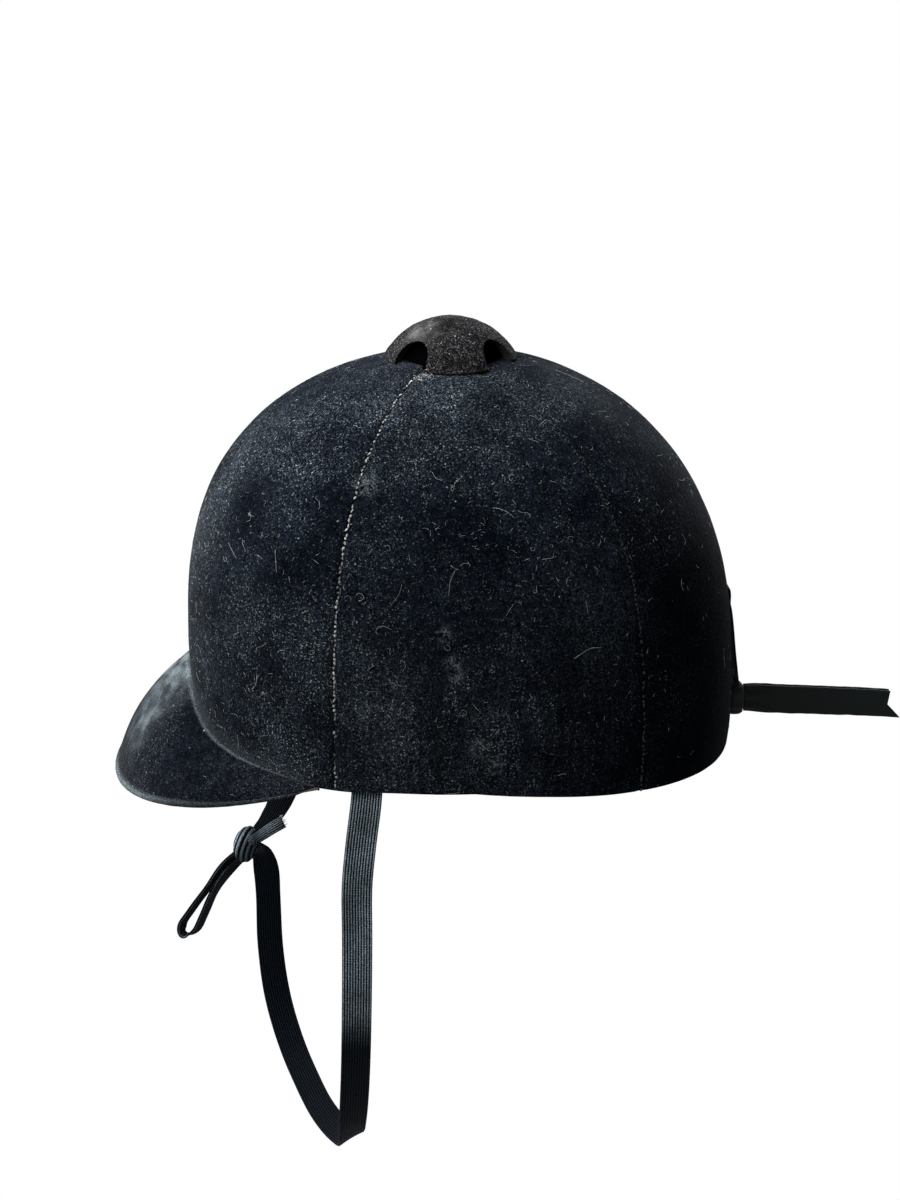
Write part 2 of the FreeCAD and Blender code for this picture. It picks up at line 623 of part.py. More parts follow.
def button_parts():
    """Button, its velvet, and the screw that holds it to the bridge under the crown."""
    feet = level_of_radius(BUTTON_R, 0.0) - BUTTON_WALL
    crown = crown_form(GAP)
    core_r = BUTTON_R - BUTTON_COVER_T - GAP
    core_top = BUTTON_TOP - BUTTON_COVER_T - GAP
    cover = button_cap(BUTTON_R, BUTTON_TOP, feet).cut(button_cap(core_r + GAP, core_top + GAP, feet))
    cover = cover.cut(button_arches(BUTTON_ARCH_W, BUTTON_ARCH_TOP)).cut(crown)
    core = button_cap(core_r, core_top, feet)
    core = core.cut(button_cap(core_r - BUTTON_WALL, core_top - BUTTON_WALL, feet))
    core = core.cut(button_arches(BUTTON_ARCH_W + 2 * GAP, BUTTON_ARCH_TOP + GAP)).cut(crown)
    bridge_reach = math.hypot(VENT_R + BRIDGE_LAP, BRIDGE_W / 2)
    hard_top = level_of_radius(bridge_reach, shell_depth() + SHELL_T) - GAP
    boss = Part.makeCylinder(BOSS_R, core_top - BUTTON_WALL / 2 - hard_top, V(0, 0, hard_top))
    bore = Part.makeCylinder(INSERT_R, INSERT_L, V(0, 0, hard_top))
    core = core.fuse(boss).cut(bore)
    parts = {"vent_button": core, "vent_button_cover": cover}
    gauze_r = core_r - BUTTON_WALL - FIT
    gauze_top = core_top - BUTTON_WALL - FIT
    gauze = button_cap(gauze_r, gauze_top, feet).cut(button_cap(gauze_r - GAUZE_T, gauze_top - GAUZE_T, feet))
    gauze = gauze.cut(Part.makeCylinder(BOSS_R + FIT, 2 * BUTTON_R, V(0, 0, hard_top))).cut(crown)
    parts["vent_gauze"] = gauze
    insert = Part.makeCylinder(INSERT_R - FIT, INSERT_L - FIT, V(0, 0, hard_top))
    parts["button_insert"] = insert.cut(Part.makeCylinder(SCREW_R + FIT, INSERT_L, V(0, 0, hard_top)))
    bridge_top = hard_top - FIT
    half = VENT_R + BRIDGE_LAP
    bridge = Part.makeBox(2 * half, BRIDGE_W, BRIDGE_T, V(-half, -BRIDGE_W / 2, bridge_top - BRIDGE_T))
    bore = Part.makeCylinder(SCREW_R + FIT, 4 * BRIDGE_T, V(0, 0, bridge_top - 2 * BRIDGE_T))
    parts["vent_bridge"] = bridge.cut(bore)
    washer_top = bridge_top - BRIDGE_T - FIT
    washer = Part.makeCylinder(WASHER_R, WASHER_T, V(0, 0, washer_top - WASHER_T))
    parts["button_washer"] = washer.cut(bore)
    head_top = washer_top - WASHER_T - FIT
    head = Part.makeCylinder(SCREW_HEAD_R, SCREW_HEAD_T, V(0, 0, head_top - SCREW_HEAD_T))
    slot = Part.makeBox(2 * SCREW_HEAD_R, 1.0, 1.2,
                        V(-SCREW_HEAD_R, -0.5, head_top - SCREW_HEAD_T))
    shank = Part.makeCylinder(SCREW_R, hard_top + INSERT_L * 0.8 - head_top, V(0, 0, head_top))
    parts["button_screw"] = head.cut(slot).fuse(shank)
    pad_top = min(head_top - SCREW_HEAD_T,
                  level_of_radius(CROWN_PAD_R, lining_depth() + LINING_T)) - GAP
    pad = Part.makeCylinder(CROWN_PAD_R, CROWN_PAD_T, V(0, 0, pad_top - CROWN_PAD_T))
    pad = pad.makeFillet(CROWN_PAD_T * 0.3, pad.Edges)
    for i in range(CROWN_PAD_HOLES):
        turn = 2 * math.pi * i / CROWN_PAD_HOLES
        spot = V(CROWN_PAD_R * 0.55 * math.cos(turn), CROWN_PAD_R * 0.55 * math.sin(turn),
                 pad_top - 2 * CROWN_PAD_T)
        pad = pad.cut(Part.makeCylinder(CROWN_PAD_HOLE_R, 4 * CROWN_PAD_T, spot))
    parts["crown_pad"] = pad
    return parts


def band_section(middle, across, along, width, thickness):
    """Rectangle of a flat band at one place."""
    face = along.cross(across)
    face.normalize()
    side = face.cross(along)
    side.normalize()
    corners = [middle + side * (a * width / 2) + face * (b * thickness / 2)
               for a, b in ((-1, -1), (1, -1), (1, 1), (-1, 1))]
    return Part.makePolygon(corners + corners[:1])


def flat_band(stations, thickness, step):
    """Flat band that runs smoothly through its stations."""
    curve = Part.BSplineCurve()
    curve.interpolate([V(*place) for place, _, _ in stations])
    marks = [curve.parameter(V(*place)) for place, _, _ in stations]
    edge = curve.toShape()
    count = max(4, round(edge.Length / step) + 1)
    wires = []
    for point in edge.discretize(count):
        at = curve.parameter(point)
        i = 0
        while i < len(marks) - 2 and marks[i + 1] < at:
            i += 1
        share = min(1.0, max(0.0, (at - marks[i]) / (marks[i + 1] - marks[i])))
        across = V(*stations[i][1]) * (1 - share) + V(*stations[i + 1][1]) * share
        width = stations[i][2] * (1 - share) + stations[i + 1][2] * share
        wires.append(band_section(point, across, V(*curve.tangent(at)[0]), width, thickness))
    return Part.makeLoft(wires, True, False)


def hinge_x(side):
    """Where the middle of the elastic crosses the hinge line."""
    place, _ = wall_frame(side, ANCHOR_Y, 0.0, liner_depth() + ELASTIC_T / 2)
    return place.x


def hinge_level():
    """Level of the line about which the chin strap swings."""
    return -TURN_GAP - TURN_R


def hinge_station(side):
    """First station of the elastic at a side, above the hinge line."""
    _, out = wall_frame(side, ANCHOR_Y, 0.0, liner_depth())
    across = V(-side * out.y, side * out.x, 0)
    return (hinge_x(side), ANCHOR_Y, 0.0), tuple(across), ELASTIC_W


def turn_room():
    """Room that the swinging elastic may fill: round about the hinge, open below."""
    reach = 2 * HALF_WIDTH
    cylinder = Part.makeCylinder(TURN_R, 2 * reach, V(-reach, ANCHOR_Y, hinge_level()), V(1, 0, 0))
    height = 3 * CROWN_HEIGHT
    top = hinge_level() + 1.0
    below = Part.makeBox(2 * reach, 2 * reach, height, V(-reach, -reach, top - height))
    return cylinder.fuse(below)


def strap_parts():
    """The elastic loop below the rim, its knot, the knot's loop and the cut end."""
    parts = {}
    run = flat_band([hinge_station(1)] + NEAR_RUN + UNDER_CHIN + FAR_RUN, ELASTIC_T, 11.0)
    leader = flat_band(LEADER + [hinge_station(-1)], ELASTIC_T, 8.0)
    parts["chin_elastic"] = run.common(turn_room())
    parts["strap_leader"] = leader.common(turn_room())
    knot = Part.makeSphere(1.0)
    grow = FreeCAD.Matrix()
    grow.scale(*KNOT_HALF)
    knot = knot.transformGeometry(grow)
    knot.rotate(V(0, 0, 0), V(1, 0, 0), KNOT_LEAN)
    knot.translate(V(*KNOT))
    parts["strap_knot"] = knot
    parts["knot_loop"] = flat_band(KNOT_LOOP, ELASTIC_T * 0.85, 2.2)
    parts["strap_cut_end"] = flat_band(CUT_END, ELASTIC_T, 4.0)
    room = knot.copy()
    room.translate(V(*KNOT) * -1)
    wider = FreeCAD.Matrix()
    spare = [1.0 + GAP / half for half in KNOT_HALF]
    wider.scale(*spare)
    room = room.transformGeometry(wider)
    room.translate(V(*KNOT))
    for name in ("chin_elastic", "strap_leader", "knot_loop", "strap_cut_end"):
        solids = parts[name].cut(room).Solids
        parts[name] = max(solids, key=lambda solid: solid.Volume)
    return parts


def nape_y(level, stand_off):
    """How far back the velvet is at the nape at this level, plus a stand-off."""
    return dome_point(90.0, level).y + stand_off


def bow_knot_back():
    """How far back the bow's knot reaches."""
    return nape_y(BOW_LEVEL, RIBBON_T + 2 * GAP) + BOW_KNOT_T


def bow_loop():
    """Flattened ribbon loop that lies up the back of the cap."""
    low = BOW_LEVEL + RIBBON_W / 2 + 0.5 + GAP
    last = len(BOW_LOOP_RISE) - 1
    inner = []
    outer = []
    for i, rise in enumerate(BOW_LOOP_RISE):
        level = low + (BOW_LOOP_TOP - low) * i / last
        under = GAP + RIBBON_T / 2
        inner.append(((0.0, nape_y(level, under), level), (1.0, 0.0, 0.0), RIBBON_W))
        outer.append(((0.0, nape_y(level, rise - RIBBON_T / 2), level), (1.0, 0.0, 0.0), RIBBON_W))
    top = BOW_LOOP_TOP + RIBBON_T
    fold = ((0.0, nape_y(top, GAP + RIBBON_T * 0.6), top), (1.0, 0.0, 0.0), RIBBON_W)
    return flat_band(inner + [fold], RIBBON_T, 9.0).fuse(flat_band(outer + [fold], RIBBON_T, 9.0))


def tail_sheet(side):
    """A tail of the bow standing on edge behind the nape, with a swallow-tail cut."""
    x = side * TAIL_SPACING / 2
    y0 = bow_knot_back() + GAP
    y1 = y0 + TAIL_LENGTH
    z1 = BOW_LEVEL - TAIL_FALL
    half = RIBBON_W / 2
    fold = RIBBON_T / 2
    corners = [V(x, y0 + fold, BOW_LEVEL - half), V(x, y1 + TAIL_NOTCH, z1 - half - 0.5),
               V(x, y1, z1), V(x, y1 + 1.0, z1 + half), V(x, y0 + fold, BOW_LEVEL + half)]
    face = Part.Face(Part.makePolygon(corners + corners[:1]))
    sheet = face.extrude(V(RIBBON_T, 0, 0))
    sheet.translate(V(-fold, 0, 0))
    return sheet.fuse(Part.makeCylinder(fold, RIBBON_W, V(x, y0 + fold, BOW_LEVEL - half)))


def bow_parts():
    """Ribbon bow sewn to the nape."""
    half = RIBBON_W / 2
    patch_ring = band_layer(-GAP - RIBBON_T, RIBBON_T, BOW_LEVEL + half)
    keep = Part.makeBox(2 * BOW_PATCH_REACH, HALF_LENGTH_REAR * 2, RIBBON_W - 2 * GAP,
                        V(-BOW_PATCH_REACH, 0, BOW_LEVEL - half + GAP))
    knot = Part.makeBox(BOW_KNOT_W, BOW_KNOT_T, RIBBON_W + 1.0,
                        V(-BOW_KNOT_W / 2, bow_knot_back() - BOW_KNOT_T, BOW_LEVEL - half - 0.5))
    return {"bow_patch": patch_ring.common(keep),
            "bow_knot": knot.makeFillet(BOW_KNOT_T * 0.25, knot.Edges),
            "bow_loop": bow_loop(),
            "bow_tail_left": tail_sheet(1),
            "bow_tail_right": tail_sheet(-1)}


def main():
    """Build every piece and write one file for each."""
    os.makedirs("parts", exist_ok=True)
    parts = {}
    for group in (cover_panels, wall_parts, peak_parts, button_parts, strap_parts, bow_parts):
        parts.update(group())
    for name, shape in parts.items():
        if not shape.isValid() or shape.Volume <= 0:
            print("check", name, shape.isValid(), round(shape.Volume, 1))
        shape.exportStep("parts/" + name + ".step")
    print(len(parts), "pieces")


main()
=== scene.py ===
"""Looks of a velvet covered riding cap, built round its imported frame.

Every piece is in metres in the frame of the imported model: +Z up through the crown,
-Y forwards over the peak and +X to the wearer's left.
"""

from __future__ import annotations

import json
import logging
import math
import random
from dataclasses import dataclass, field
from enum import Enum
from typing import Callable, Sequence

import bmesh
import bpy
from mathutils import Matrix, Quaternion, Vector, noise
from mathutils.bvhtree import BVHTree

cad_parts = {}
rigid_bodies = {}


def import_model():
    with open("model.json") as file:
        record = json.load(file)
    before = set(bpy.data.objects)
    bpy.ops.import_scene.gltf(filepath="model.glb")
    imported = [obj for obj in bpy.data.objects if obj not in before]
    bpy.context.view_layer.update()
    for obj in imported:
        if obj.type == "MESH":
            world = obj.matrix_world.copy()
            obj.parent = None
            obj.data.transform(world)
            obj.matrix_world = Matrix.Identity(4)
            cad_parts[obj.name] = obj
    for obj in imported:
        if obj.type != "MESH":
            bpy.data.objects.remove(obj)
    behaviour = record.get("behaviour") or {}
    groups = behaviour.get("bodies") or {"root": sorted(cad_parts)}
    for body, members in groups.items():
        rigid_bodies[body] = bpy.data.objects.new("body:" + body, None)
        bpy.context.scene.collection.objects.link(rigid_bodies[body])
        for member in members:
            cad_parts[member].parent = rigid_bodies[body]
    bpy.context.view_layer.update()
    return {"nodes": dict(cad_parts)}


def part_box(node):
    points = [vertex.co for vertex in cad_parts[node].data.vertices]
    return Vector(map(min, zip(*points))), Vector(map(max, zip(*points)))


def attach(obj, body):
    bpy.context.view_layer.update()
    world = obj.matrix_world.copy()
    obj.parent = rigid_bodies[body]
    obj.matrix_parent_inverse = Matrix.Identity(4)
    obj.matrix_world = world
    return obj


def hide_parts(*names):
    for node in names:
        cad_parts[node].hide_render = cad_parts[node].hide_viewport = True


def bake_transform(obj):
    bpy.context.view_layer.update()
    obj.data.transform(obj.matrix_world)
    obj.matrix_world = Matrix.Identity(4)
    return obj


LOG = logging.getLogger("riding_cap")
MM = 0.001
Triple = tuple[float, float, float]
Colour = Triple
Piece = bpy.types.Object
Mesh = bmesh.types.BMesh
Material = bpy.types.Material
Node = bpy.types.Node
Socket = bpy.types.NodeSocket
Place = Callable[[float, float], Vector]


class Body(Enum):
    """Bodies of the frame that the pieces ride on."""

    CAP = "cap"
    STRAP = "chin_strap"
    TAIL_LEFT = "bow_tail_left"
    TAIL_RIGHT = "bow_tail_right"


class Side(Enum):
    """Sides of the cap, as the wearer has them."""

    LEFT = 1
    RIGHT = -1


def smooth(value: float) -> float:
    """Return a number held between 0 and 1 and eased at both ends."""
    held = min(1.0, max(0.0, value))
    return held * held * (3.0 - 2.0 * held)


def mix(first: float, second: float, share: float) -> float:
    """Return the value that lies a share of the way from first to second."""
    return first + (second - first) * share


# ---- mesh tools


def around(turn: float, side: Vector, over: Vector, size: float) -> Vector:
    """Return the step from a ring's middle to its edge, at a turn in radians from its side."""
    return side * (math.cos(turn) * size) + over * (math.sin(turn) * size)


def finish_mesh(name: str, mesh: Mesh) -> Piece:
    """Turn a bmesh into an object of the scene, shaded smooth.

    Args:
        name: Name of the piece.
        mesh: The bmesh, which is freed.

    Returns:
        The new object, at the origin.
    """
    data = bpy.data.meshes.new(name)
    for face in mesh.faces:
        face.smooth = True
    mesh.to_mesh(data)
    mesh.free()
    piece = bpy.data.objects.new(name, data)
    bpy.context.scene.collection.objects.link(piece)
    return piece


def lay_grid(columns: int, rows: int, place: Place, weld: float = 0.0,
             mark: Callable[[float, float], float] | None = None) -> Mesh:
    """Make a grid and lay it on a form.

    Args:
        columns: Faces across.
        rows: Faces up.
        place: Gives the place of a point from its two shares, from 0 to 1.
        weld: Distance within which points are merged, to close a ring.
        mark: Gives a value from the same shares, kept as the attribute "rib".

    Returns:
        The bmesh, with a UV map that holds the shares.
    """
    mesh = bmesh.new()
    mesh.loops.layers.uv.new("UVMap")
    kept = mesh.verts.layers.float.new("rib") if mark else None
    bmesh.ops.create_grid(mesh, x_segments=columns, y_segments=rows, size=0.5, calc_uvs=True)
    for vert in mesh.verts:
        across, up = vert.co.x + 0.5, vert.co.y + 0.5
        vert.co = place(across, up)
        if mark:
            vert[kept] = mark(across, up)
    if weld > 0.0:
        bmesh.ops.remove_doubles(mesh, verts=mesh.verts, dist=weld)
    return mesh


def close_ends(mesh: Mesh) -> None:
    """Fill the open ends of a tube."""
    edges = [edge for edge in mesh.edges if edge.is_boundary]
    bmesh.ops.holes_fill(mesh, edges=edges, sides=0)


def face_outwards(mesh: Mesh) -> Mesh:
    """Turn every face of a closed form outwards."""
    bmesh.ops.recalc_face_normals(mesh, faces=mesh.faces)
    return mesh


def add_thickness(piece: Piece, thickness: float, offset: float = -1.0) -> None:
    """Give a sheet its thickness with a live modifier.

    Args:
        piece: The sheet.
        thickness: Thickness in metres.
        offset: -1 puts the thickness behind the faces.
    """
    modifier = piece.modifiers.new("Thickness", "SOLIDIFY")
    modifier.thickness = thickness
    modifier.offset = offset
    modifier.use_even_offset = False


def mesh_area(piece: Piece) -> float:
    """Return the area of a piece's faces in square metres."""
    return sum(face.area for face in piece.data.polygons)


def tube_between(mesh: Mesh, points: Sequence[Vector], radius: float, sides: int) -> None:
    """Add a thin fibre along points to a bmesh.

    Args:
        mesh: The bmesh.
        points: Points that the fibre follows.
        radius: Its radius, which runs out to nothing at both ends.
        sides: Number of its sides.
    """
    last = len(points) - 1
    made = bmesh.ops.create_grid(mesh, x_segments=sides, y_segments=last, size=0.5)
    for vert in made["verts"]:
        row = round((vert.co.y + 0.5) * last)
        turn = (vert.co.x + 0.5) * 2.0 * math.pi
        along = (points[min(row + 1, last)] - points[max(row - 1, 0)]).normalized()
        side = along.orthogonal().normalized()
        over = along.cross(side)
        size = radius * math.sin(math.pi * mix(0.12, 0.88, row / last)) ** 0.5
        vert.co = points[row] + around(turn, side, over, size)
    bmesh.ops.remove_doubles(mesh, verts=made["verts"], dist=radius * 0.05)


@dataclass
class Grains:
    """Many small seed shapes, such as stitches, gathered in one mesh."""

    sides: int = 6
    verts: list[Vector] = field(default_factory=list)
    faces: list[tuple[int, ...]] = field(default_factory=list)

    def add(self, centre: Vector, along: Vector, over: Vector, out: Vector) -> None:
        """Add one seed.

        Args:
            centre: Its middle.
            along: Its half length.
            over: Its half width.
            out: Its half height.
        """
        first = len(self.verts)
        self.verts += [centre - along, centre + along]
        for place, size in ((-0.62, 0.74), (0.0, 1.0), (0.62, 0.74)):
            for k in range(self.sides):
                turn = k * 2 * math.pi / self.sides
                self.verts.append(centre + along * place + around(turn, over, out, size))
        for k in range(self.sides):
            a, b = first + 2 + k, first + 2 + (k + 1) % self.sides
            last = 2 * self.sides
            self.faces += [(first, b, a), (a, b, b + self.sides, a + self.sides),
                           (a + self.sides, b + self.sides, b + last, a + last),
                           (a + last, b + last, first + 1)]

    def string(self, line: Sequence[tuple[Vector, Vector]], radius: float, sides: int) -> None:
        """Add one thin tapering strand.

        Args:
            line: Its points, with the outward direction at each.
            radius: Its radius in metres.
            sides: Number of its sides.
        """
        first, last = len(self.verts), len(line) - 1
        for i, (spot, out) in enumerate(line):
            along = (line[min(i + 1, last)][0] - line[max(i - 1, 0)][0]).normalized()
            over = along.cross(out).normalized()
            rise = over.cross(along)
            size = radius * (0.45 if i in (0, last) else 1.0)
            for k in range(sides):
                turn = k * 2 * math.pi / sides
                self.verts.append(spot + around(turn, over, rise, size))
        for i in range(last):
            for k in range(sides):
                a, b = first + i * sides + k, first + i * sides + (k + 1) % sides
                self.faces.append((a, b, b + sides, a + sides))
        self.faces.append(tuple(first + k for k in reversed(range(sides))))
        self.faces.append(tuple(first + last * sides + k for k in range(sides)))

    def made(self, name: str) -> Piece:
        """Return the seeds as one object.

        Args:
            name: Name of the object.

        Returns:
            The new object.
        """
        data = bpy.data.meshes.new(name)
        data.from_pydata(self.verts, [], self.faces)
        mesh = bmesh.new()
        mesh.from_mesh(data)
        bpy.data.meshes.remove(data)
        return finish_mesh(name, face_outwards(mesh))


# ---- the cap's form


@dataclass(frozen=True)
class CapForm:
    """The domed form that every layer of the cap follows."""

    half_width: float = 0.095
    front: float = 0.1115
    rear: float = 0.1205
    crown: float = 0.1583
    widest_front: float = 0.035
    widest_rear: float = 0.005
    fullness: float = 2.78
    plan: float = 2.2
    egg: float = 0.04
    rear_tuck: float = 0.02
    side_tuck: float = 0.01
    rear_drop: float = 0.0104
    drop_curve: float = 1.5
    skirt: float = 0.0056
    brow_rise: float = 0.020
    brow_spread: float = 17.0
    side_rise: float = 0.010
    side_curve: float = 1.4
    peak_end: float = 60.0
    brow_drop: float = 0.007
    brow_start: float = -0.0557
    metres_per_degree: float = 0.0021

    def point(self, turn: float, level: float, depth: float = 0.0) -> Vector:
        """Find a point of the form.

        Args:
            turn: Degrees round the cap; -90 is the brow and 0 the left side.
            level: Height in metres.
            depth: Depth below the outer velvet in metres.

        Returns:
            The point.
        """
        c = math.cos(math.radians(turn))
        s = math.sin(math.radians(turn))
        crown = self.crown - depth
        widest = (self.widest_front + self.widest_rear) / 2
        widest -= (self.widest_front - self.widest_rear) / 2 * s
        rise = min(1.0, max(0.0, (level - widest) / (crown - widest)))
        size = math.sqrt(max(0.0, 1.0 - rise**self.fullness))
        low = max(0.0, widest - level) / (widest + self.rear_drop + self.skirt)
        tuck = (self.rear_tuck * s * s if s > 0 else 0.0) + self.side_tuck * c * c
        size *= 1.0 - tuck * low * low
        along = (self.rear + self.front) / 2 + (self.rear - self.front) / 2 * s - depth
        across = (self.half_width - depth) * (1.0 + self.egg * s)
        oval = (abs(c) ** self.plan + abs(s) ** self.plan) ** (-1.0 / self.plan)
        return Vector((across * size * oval * c, along * size * oval * s, level))

    def outward(self, turn: float, level: float, depth: float = 0.0) -> Vector:
        """Return the outward direction of the form at a place.

        Args:
            turn: Turn round the cap in degrees.
            level: Level above the rim.
            depth: The layer's depth.

        Returns:
            The direction.
        """
        along = self.point(turn + 0.4, level, depth) - self.point(turn - 0.4, level, depth)
        step = 0.0005
        low = min(level, self.crown - depth - 2.5 * step)
        up = self.point(turn, low + step, depth) - self.point(turn, low - step, depth)
        return along.cross(up).normalized()

    def level_of(self, radius: float, depth: float) -> float:
        """Return the level at which the form is as narrow as this radius at its sides."""
        widest = (self.widest_front + self.widest_rear) / 2
        share = 1.0 - (radius / (self.half_width - depth)) ** 2
        return widest + (self.crown - depth - widest) * share ** (1.0 / self.fullness)

    def crease(self, span: float) -> float:
        """Return the level at which the peak leaves the cap, at degrees from the brow."""
        brow = self.brow_rise * math.exp(-((span / self.brow_spread) ** 2))
        side = 1.0 - min(1.0, abs(span / self.peak_end)) ** self.side_curve
        return brow + self.side_rise * side

    def rim(self, turn: float, depth: float = 0.0) -> float:
        """Find the level of the rim.

        Args:
            turn: Degrees round the cap.
            depth: Depth below the outer velvet in metres.

        Returns:
            The rim's level there.
        """
        level = 0.0
        for _ in range(4):
            here = self.point(turn, level, depth)
            if here.y > 0:
                share = 1.0 - min(1.0, here.y / self.rear)
                level = -self.rear_drop * (1.0 - share**self.drop_curve)
            elif here.y < self.brow_start:
                level = max(0.0, self.brow_arch(here.x))
        return level

    def brow_arch(self, x: float) -> float:
        """Return the level of the rim's arch over the brow at a distance from the middle.

        Args:
            x: Distance from the middle.

        Returns:
            The level.
        """
        span = 0.0
        for _ in range(6):
            place = self.point(-90.0 + span, self.crease(span))
            span = min(40.0, span + (abs(x) - place.x) / self.metres_per_degree)
        return self.crease(span) - self.brow_drop

    def turn_at(self, test: Callable[[Vector], float], low: float, high: float,
                level: float, depth: float = 0.0) -> float:
        """Find where a test changes sign round the cap.

        Args:
            test: Negative before the place and positive after it.
            low: Turn to start from.
            high: Turn to end at.
            level: Height in metres.
            depth: Depth below the outer velvet.

        Returns:
            The turn in degrees.
        """
        for _ in range(36):
            middle = (low + high) / 2
            if test(self.point(middle, level, depth)) < 0:
                low = middle
            else:
                high = middle
        return (low + high) / 2


FORM = CapForm()


@dataclass(frozen=True)
class Seams:
    """The four seams of the velvet, as lines seen from above."""

    front_angle: float = 33.0
    rear_inner: tuple[float, float] = (0.0136, -0.0034)
    rear_outer: tuple[float, float] = (0.082, 0.069)

    def front(self, level: float) -> float:
        """Return the turn of the front seam on the left side at a level."""
        slope = math.tan(math.radians(self.front_angle))
        return FORM.turn_at(lambda p: p.y + slope * p.x, -80.0, 0.0, level)

    def rear(self, level: float) -> float:
        """Return the turn of the rear seam on the left side at a level.

        Args:
            level: Level above the rim.

        Returns:
            The turn in degrees.
        """
        dx = self.rear_outer[0] - self.rear_inner[0]
        dy = self.rear_outer[1] - self.rear_inner[1]

        def beyond(p: Vector) -> float:
            """Return how far a place lies past the seam's line."""
            return dx * (p.y - self.rear_inner[1]) - dy * (p.x - self.rear_inner[0])

        return FORM.turn_at(beyond, -40.0, 88.0, level)


SEAMS = Seams()


# ---- materials


class Graph:
    """A node graph, with short ways to add to it."""

    def __init__(self, owner: Material | bpy.types.World) -> None:
        """Start an empty graph on a material or a world."""
        owner.use_nodes = True
        self.tree = owner.node_tree
        self.tree.nodes.clear()

    def add(self, kind: str, settings: dict | None = None, inputs: dict | None = None) -> Node:
        """Add a node.

        Args:
            kind: Blender's name for the node.
            settings: Properties of the node.
            inputs: Values or sockets for its inputs, by name or number.

        Returns:
            The node.
        """
        node = self.tree.nodes.new(kind)
        for key, value in (settings or {}).items():
            setattr(node, key, value)
        self.fill(node, inputs or {})
        return node

    def fill(self, node: Node, inputs: dict) -> None:
        """Set or link inputs of a node.

        Args:
            node: The node.
            inputs: Values or sockets, by name or number; a colour is three numbers.
        """
        for key, value in inputs.items():
            socket = node.inputs[key]
            if isinstance(value, Socket):
                self.tree.links.new(value, socket)
            else:
                socket.default_value = (*value, 1.0) if socket.type == "RGBA" else value

    def objects(self) -> Socket:
        """Return the object coordinates."""
        return self.add("ShaderNodeTexCoord").outputs["Object"]

    def rib(self) -> Socket:
        """Return the value that the mesh keeps as its attribute "rib"."""
        return self.add("ShaderNodeAttribute", {"attribute_name": "rib"}).outputs["Fac"]

    def uv(self) -> Socket:
        """Return the piece's own UV map."""
        return self.add("ShaderNodeUVMap", {"uv_map": "UVMap"}).outputs[0]

    def mapped(self, vector: Socket, scale: Triple, turn: Triple = (0, 0, 0)) -> Socket:
        """Stretch and turn coordinates."""
        node = self.add("ShaderNodeMapping", None, {"Vector": vector, "Scale": scale, "Rotation": turn})
        return node.outputs[0]

    def noise(self, vector: Socket, scale: float, detail: float = 2.0,
              rough: float = 0.5, distort: float = 0.0) -> Socket:
        """Return a noise value."""
        node = self.add("ShaderNodeTexNoise", None, {
            "Vector": vector, "Scale": scale, "Detail": detail, "Roughness": rough, "Distortion": distort})
        return node.outputs[0]

    def cells(self, vector: Socket, scale: float, feature: str = "F1") -> Node:
        """Return a cell pattern's node."""
        return self.add("ShaderNodeTexVoronoi", {"feature": feature}, {"Vector": vector, "Scale": scale})

    def math(self, operation: str, first: object, second: object = 0.0, clamp: bool = False) -> Socket:
        """Return the result of a sum on two values."""
        node = self.add("ShaderNodeMath", {"operation": operation, "use_clamp": clamp}, {0: first, 1: second})
        return node.outputs[0]

    def times(self, first: object, *others: object) -> Socket:
        """Return the product of values, each of them a number or a socket."""
        for other in others:
            first = self.math("MULTIPLY", first, other)
        return first

    def plus(self, first: object, second: object) -> Socket:
        """Return the sum of two values."""
        return self.math("ADD", first, second)

    def scaled(self, value: object, factor: float, offset: float) -> Socket:
        """Return a value times a factor, plus an offset."""
        return self.plus(self.times(value, factor), offset)

    def band(self, value: object, low: float, high: float) -> Socket:
        """Map a value to 0 at low and 1 at high, eased and held."""
        node = self.add("ShaderNodeMapRange", {"interpolation_type": "SMOOTHSTEP"}, {
            "Value": value, "From Min": low, "From Max": high})
        return node.outputs[0]

    def blend(self, share: object, first: object, second: object) -> Socket:
        """Mix two colours.

        Args:
            share: Share of the second colour.
            first: First colour or socket.
            second: Second colour or socket.

        Returns:
            The mixed colour.
        """
        node = self.add("ShaderNodeMix", {"data_type": "RGBA"}, {0: share, 6: first, 7: second})
        return node.outputs[2]

    def split(self, vector: Socket) -> Sequence[Socket]:
        """Split coordinates into X, Y and Z."""
        return self.add("ShaderNodeSeparateXYZ", None, {0: vector}).outputs[:]

    def spot(self, vector: Socket, centre: Triple, radius: float) -> Socket:
        """Return a soft spot that is 1 at its centre and 0 at its radius."""
        away = self.add("ShaderNodeVectorMath", {"operation": "DISTANCE"}, {0: vector, 1: centre})
        return self.band(away.outputs["Value"], radius, 0.0)

    def bump(self, height: Socket, distance: float, strength: float = 1.0,
             over: Socket | None = None) -> Socket:
        """Return a bumped normal.

        Args:
            height: Height of the relief, from 0 to 1.
            distance: Its full height in metres.
            strength: Its strength.
            over: A normal that it is added to.

        Returns:
            The normal.
        """
        inputs = {"Height": height, "Distance": distance, "Strength": strength}
        if over is not None:
            inputs["Normal"] = over
        return self.add("ShaderNodeBump", None, inputs).outputs[0]

    def seen_directly(self) -> Socket:
        """Return 1 for what the camera sees, also in a mirror or through glass."""
        rays = self.add("ShaderNodeLightPath").outputs
        both = self.math("MAXIMUM", rays["Is Camera Ray"], rays["Is Glossy Ray"])
        return self.math("MAXIMUM", both, rays["Is Transmission Ray"])


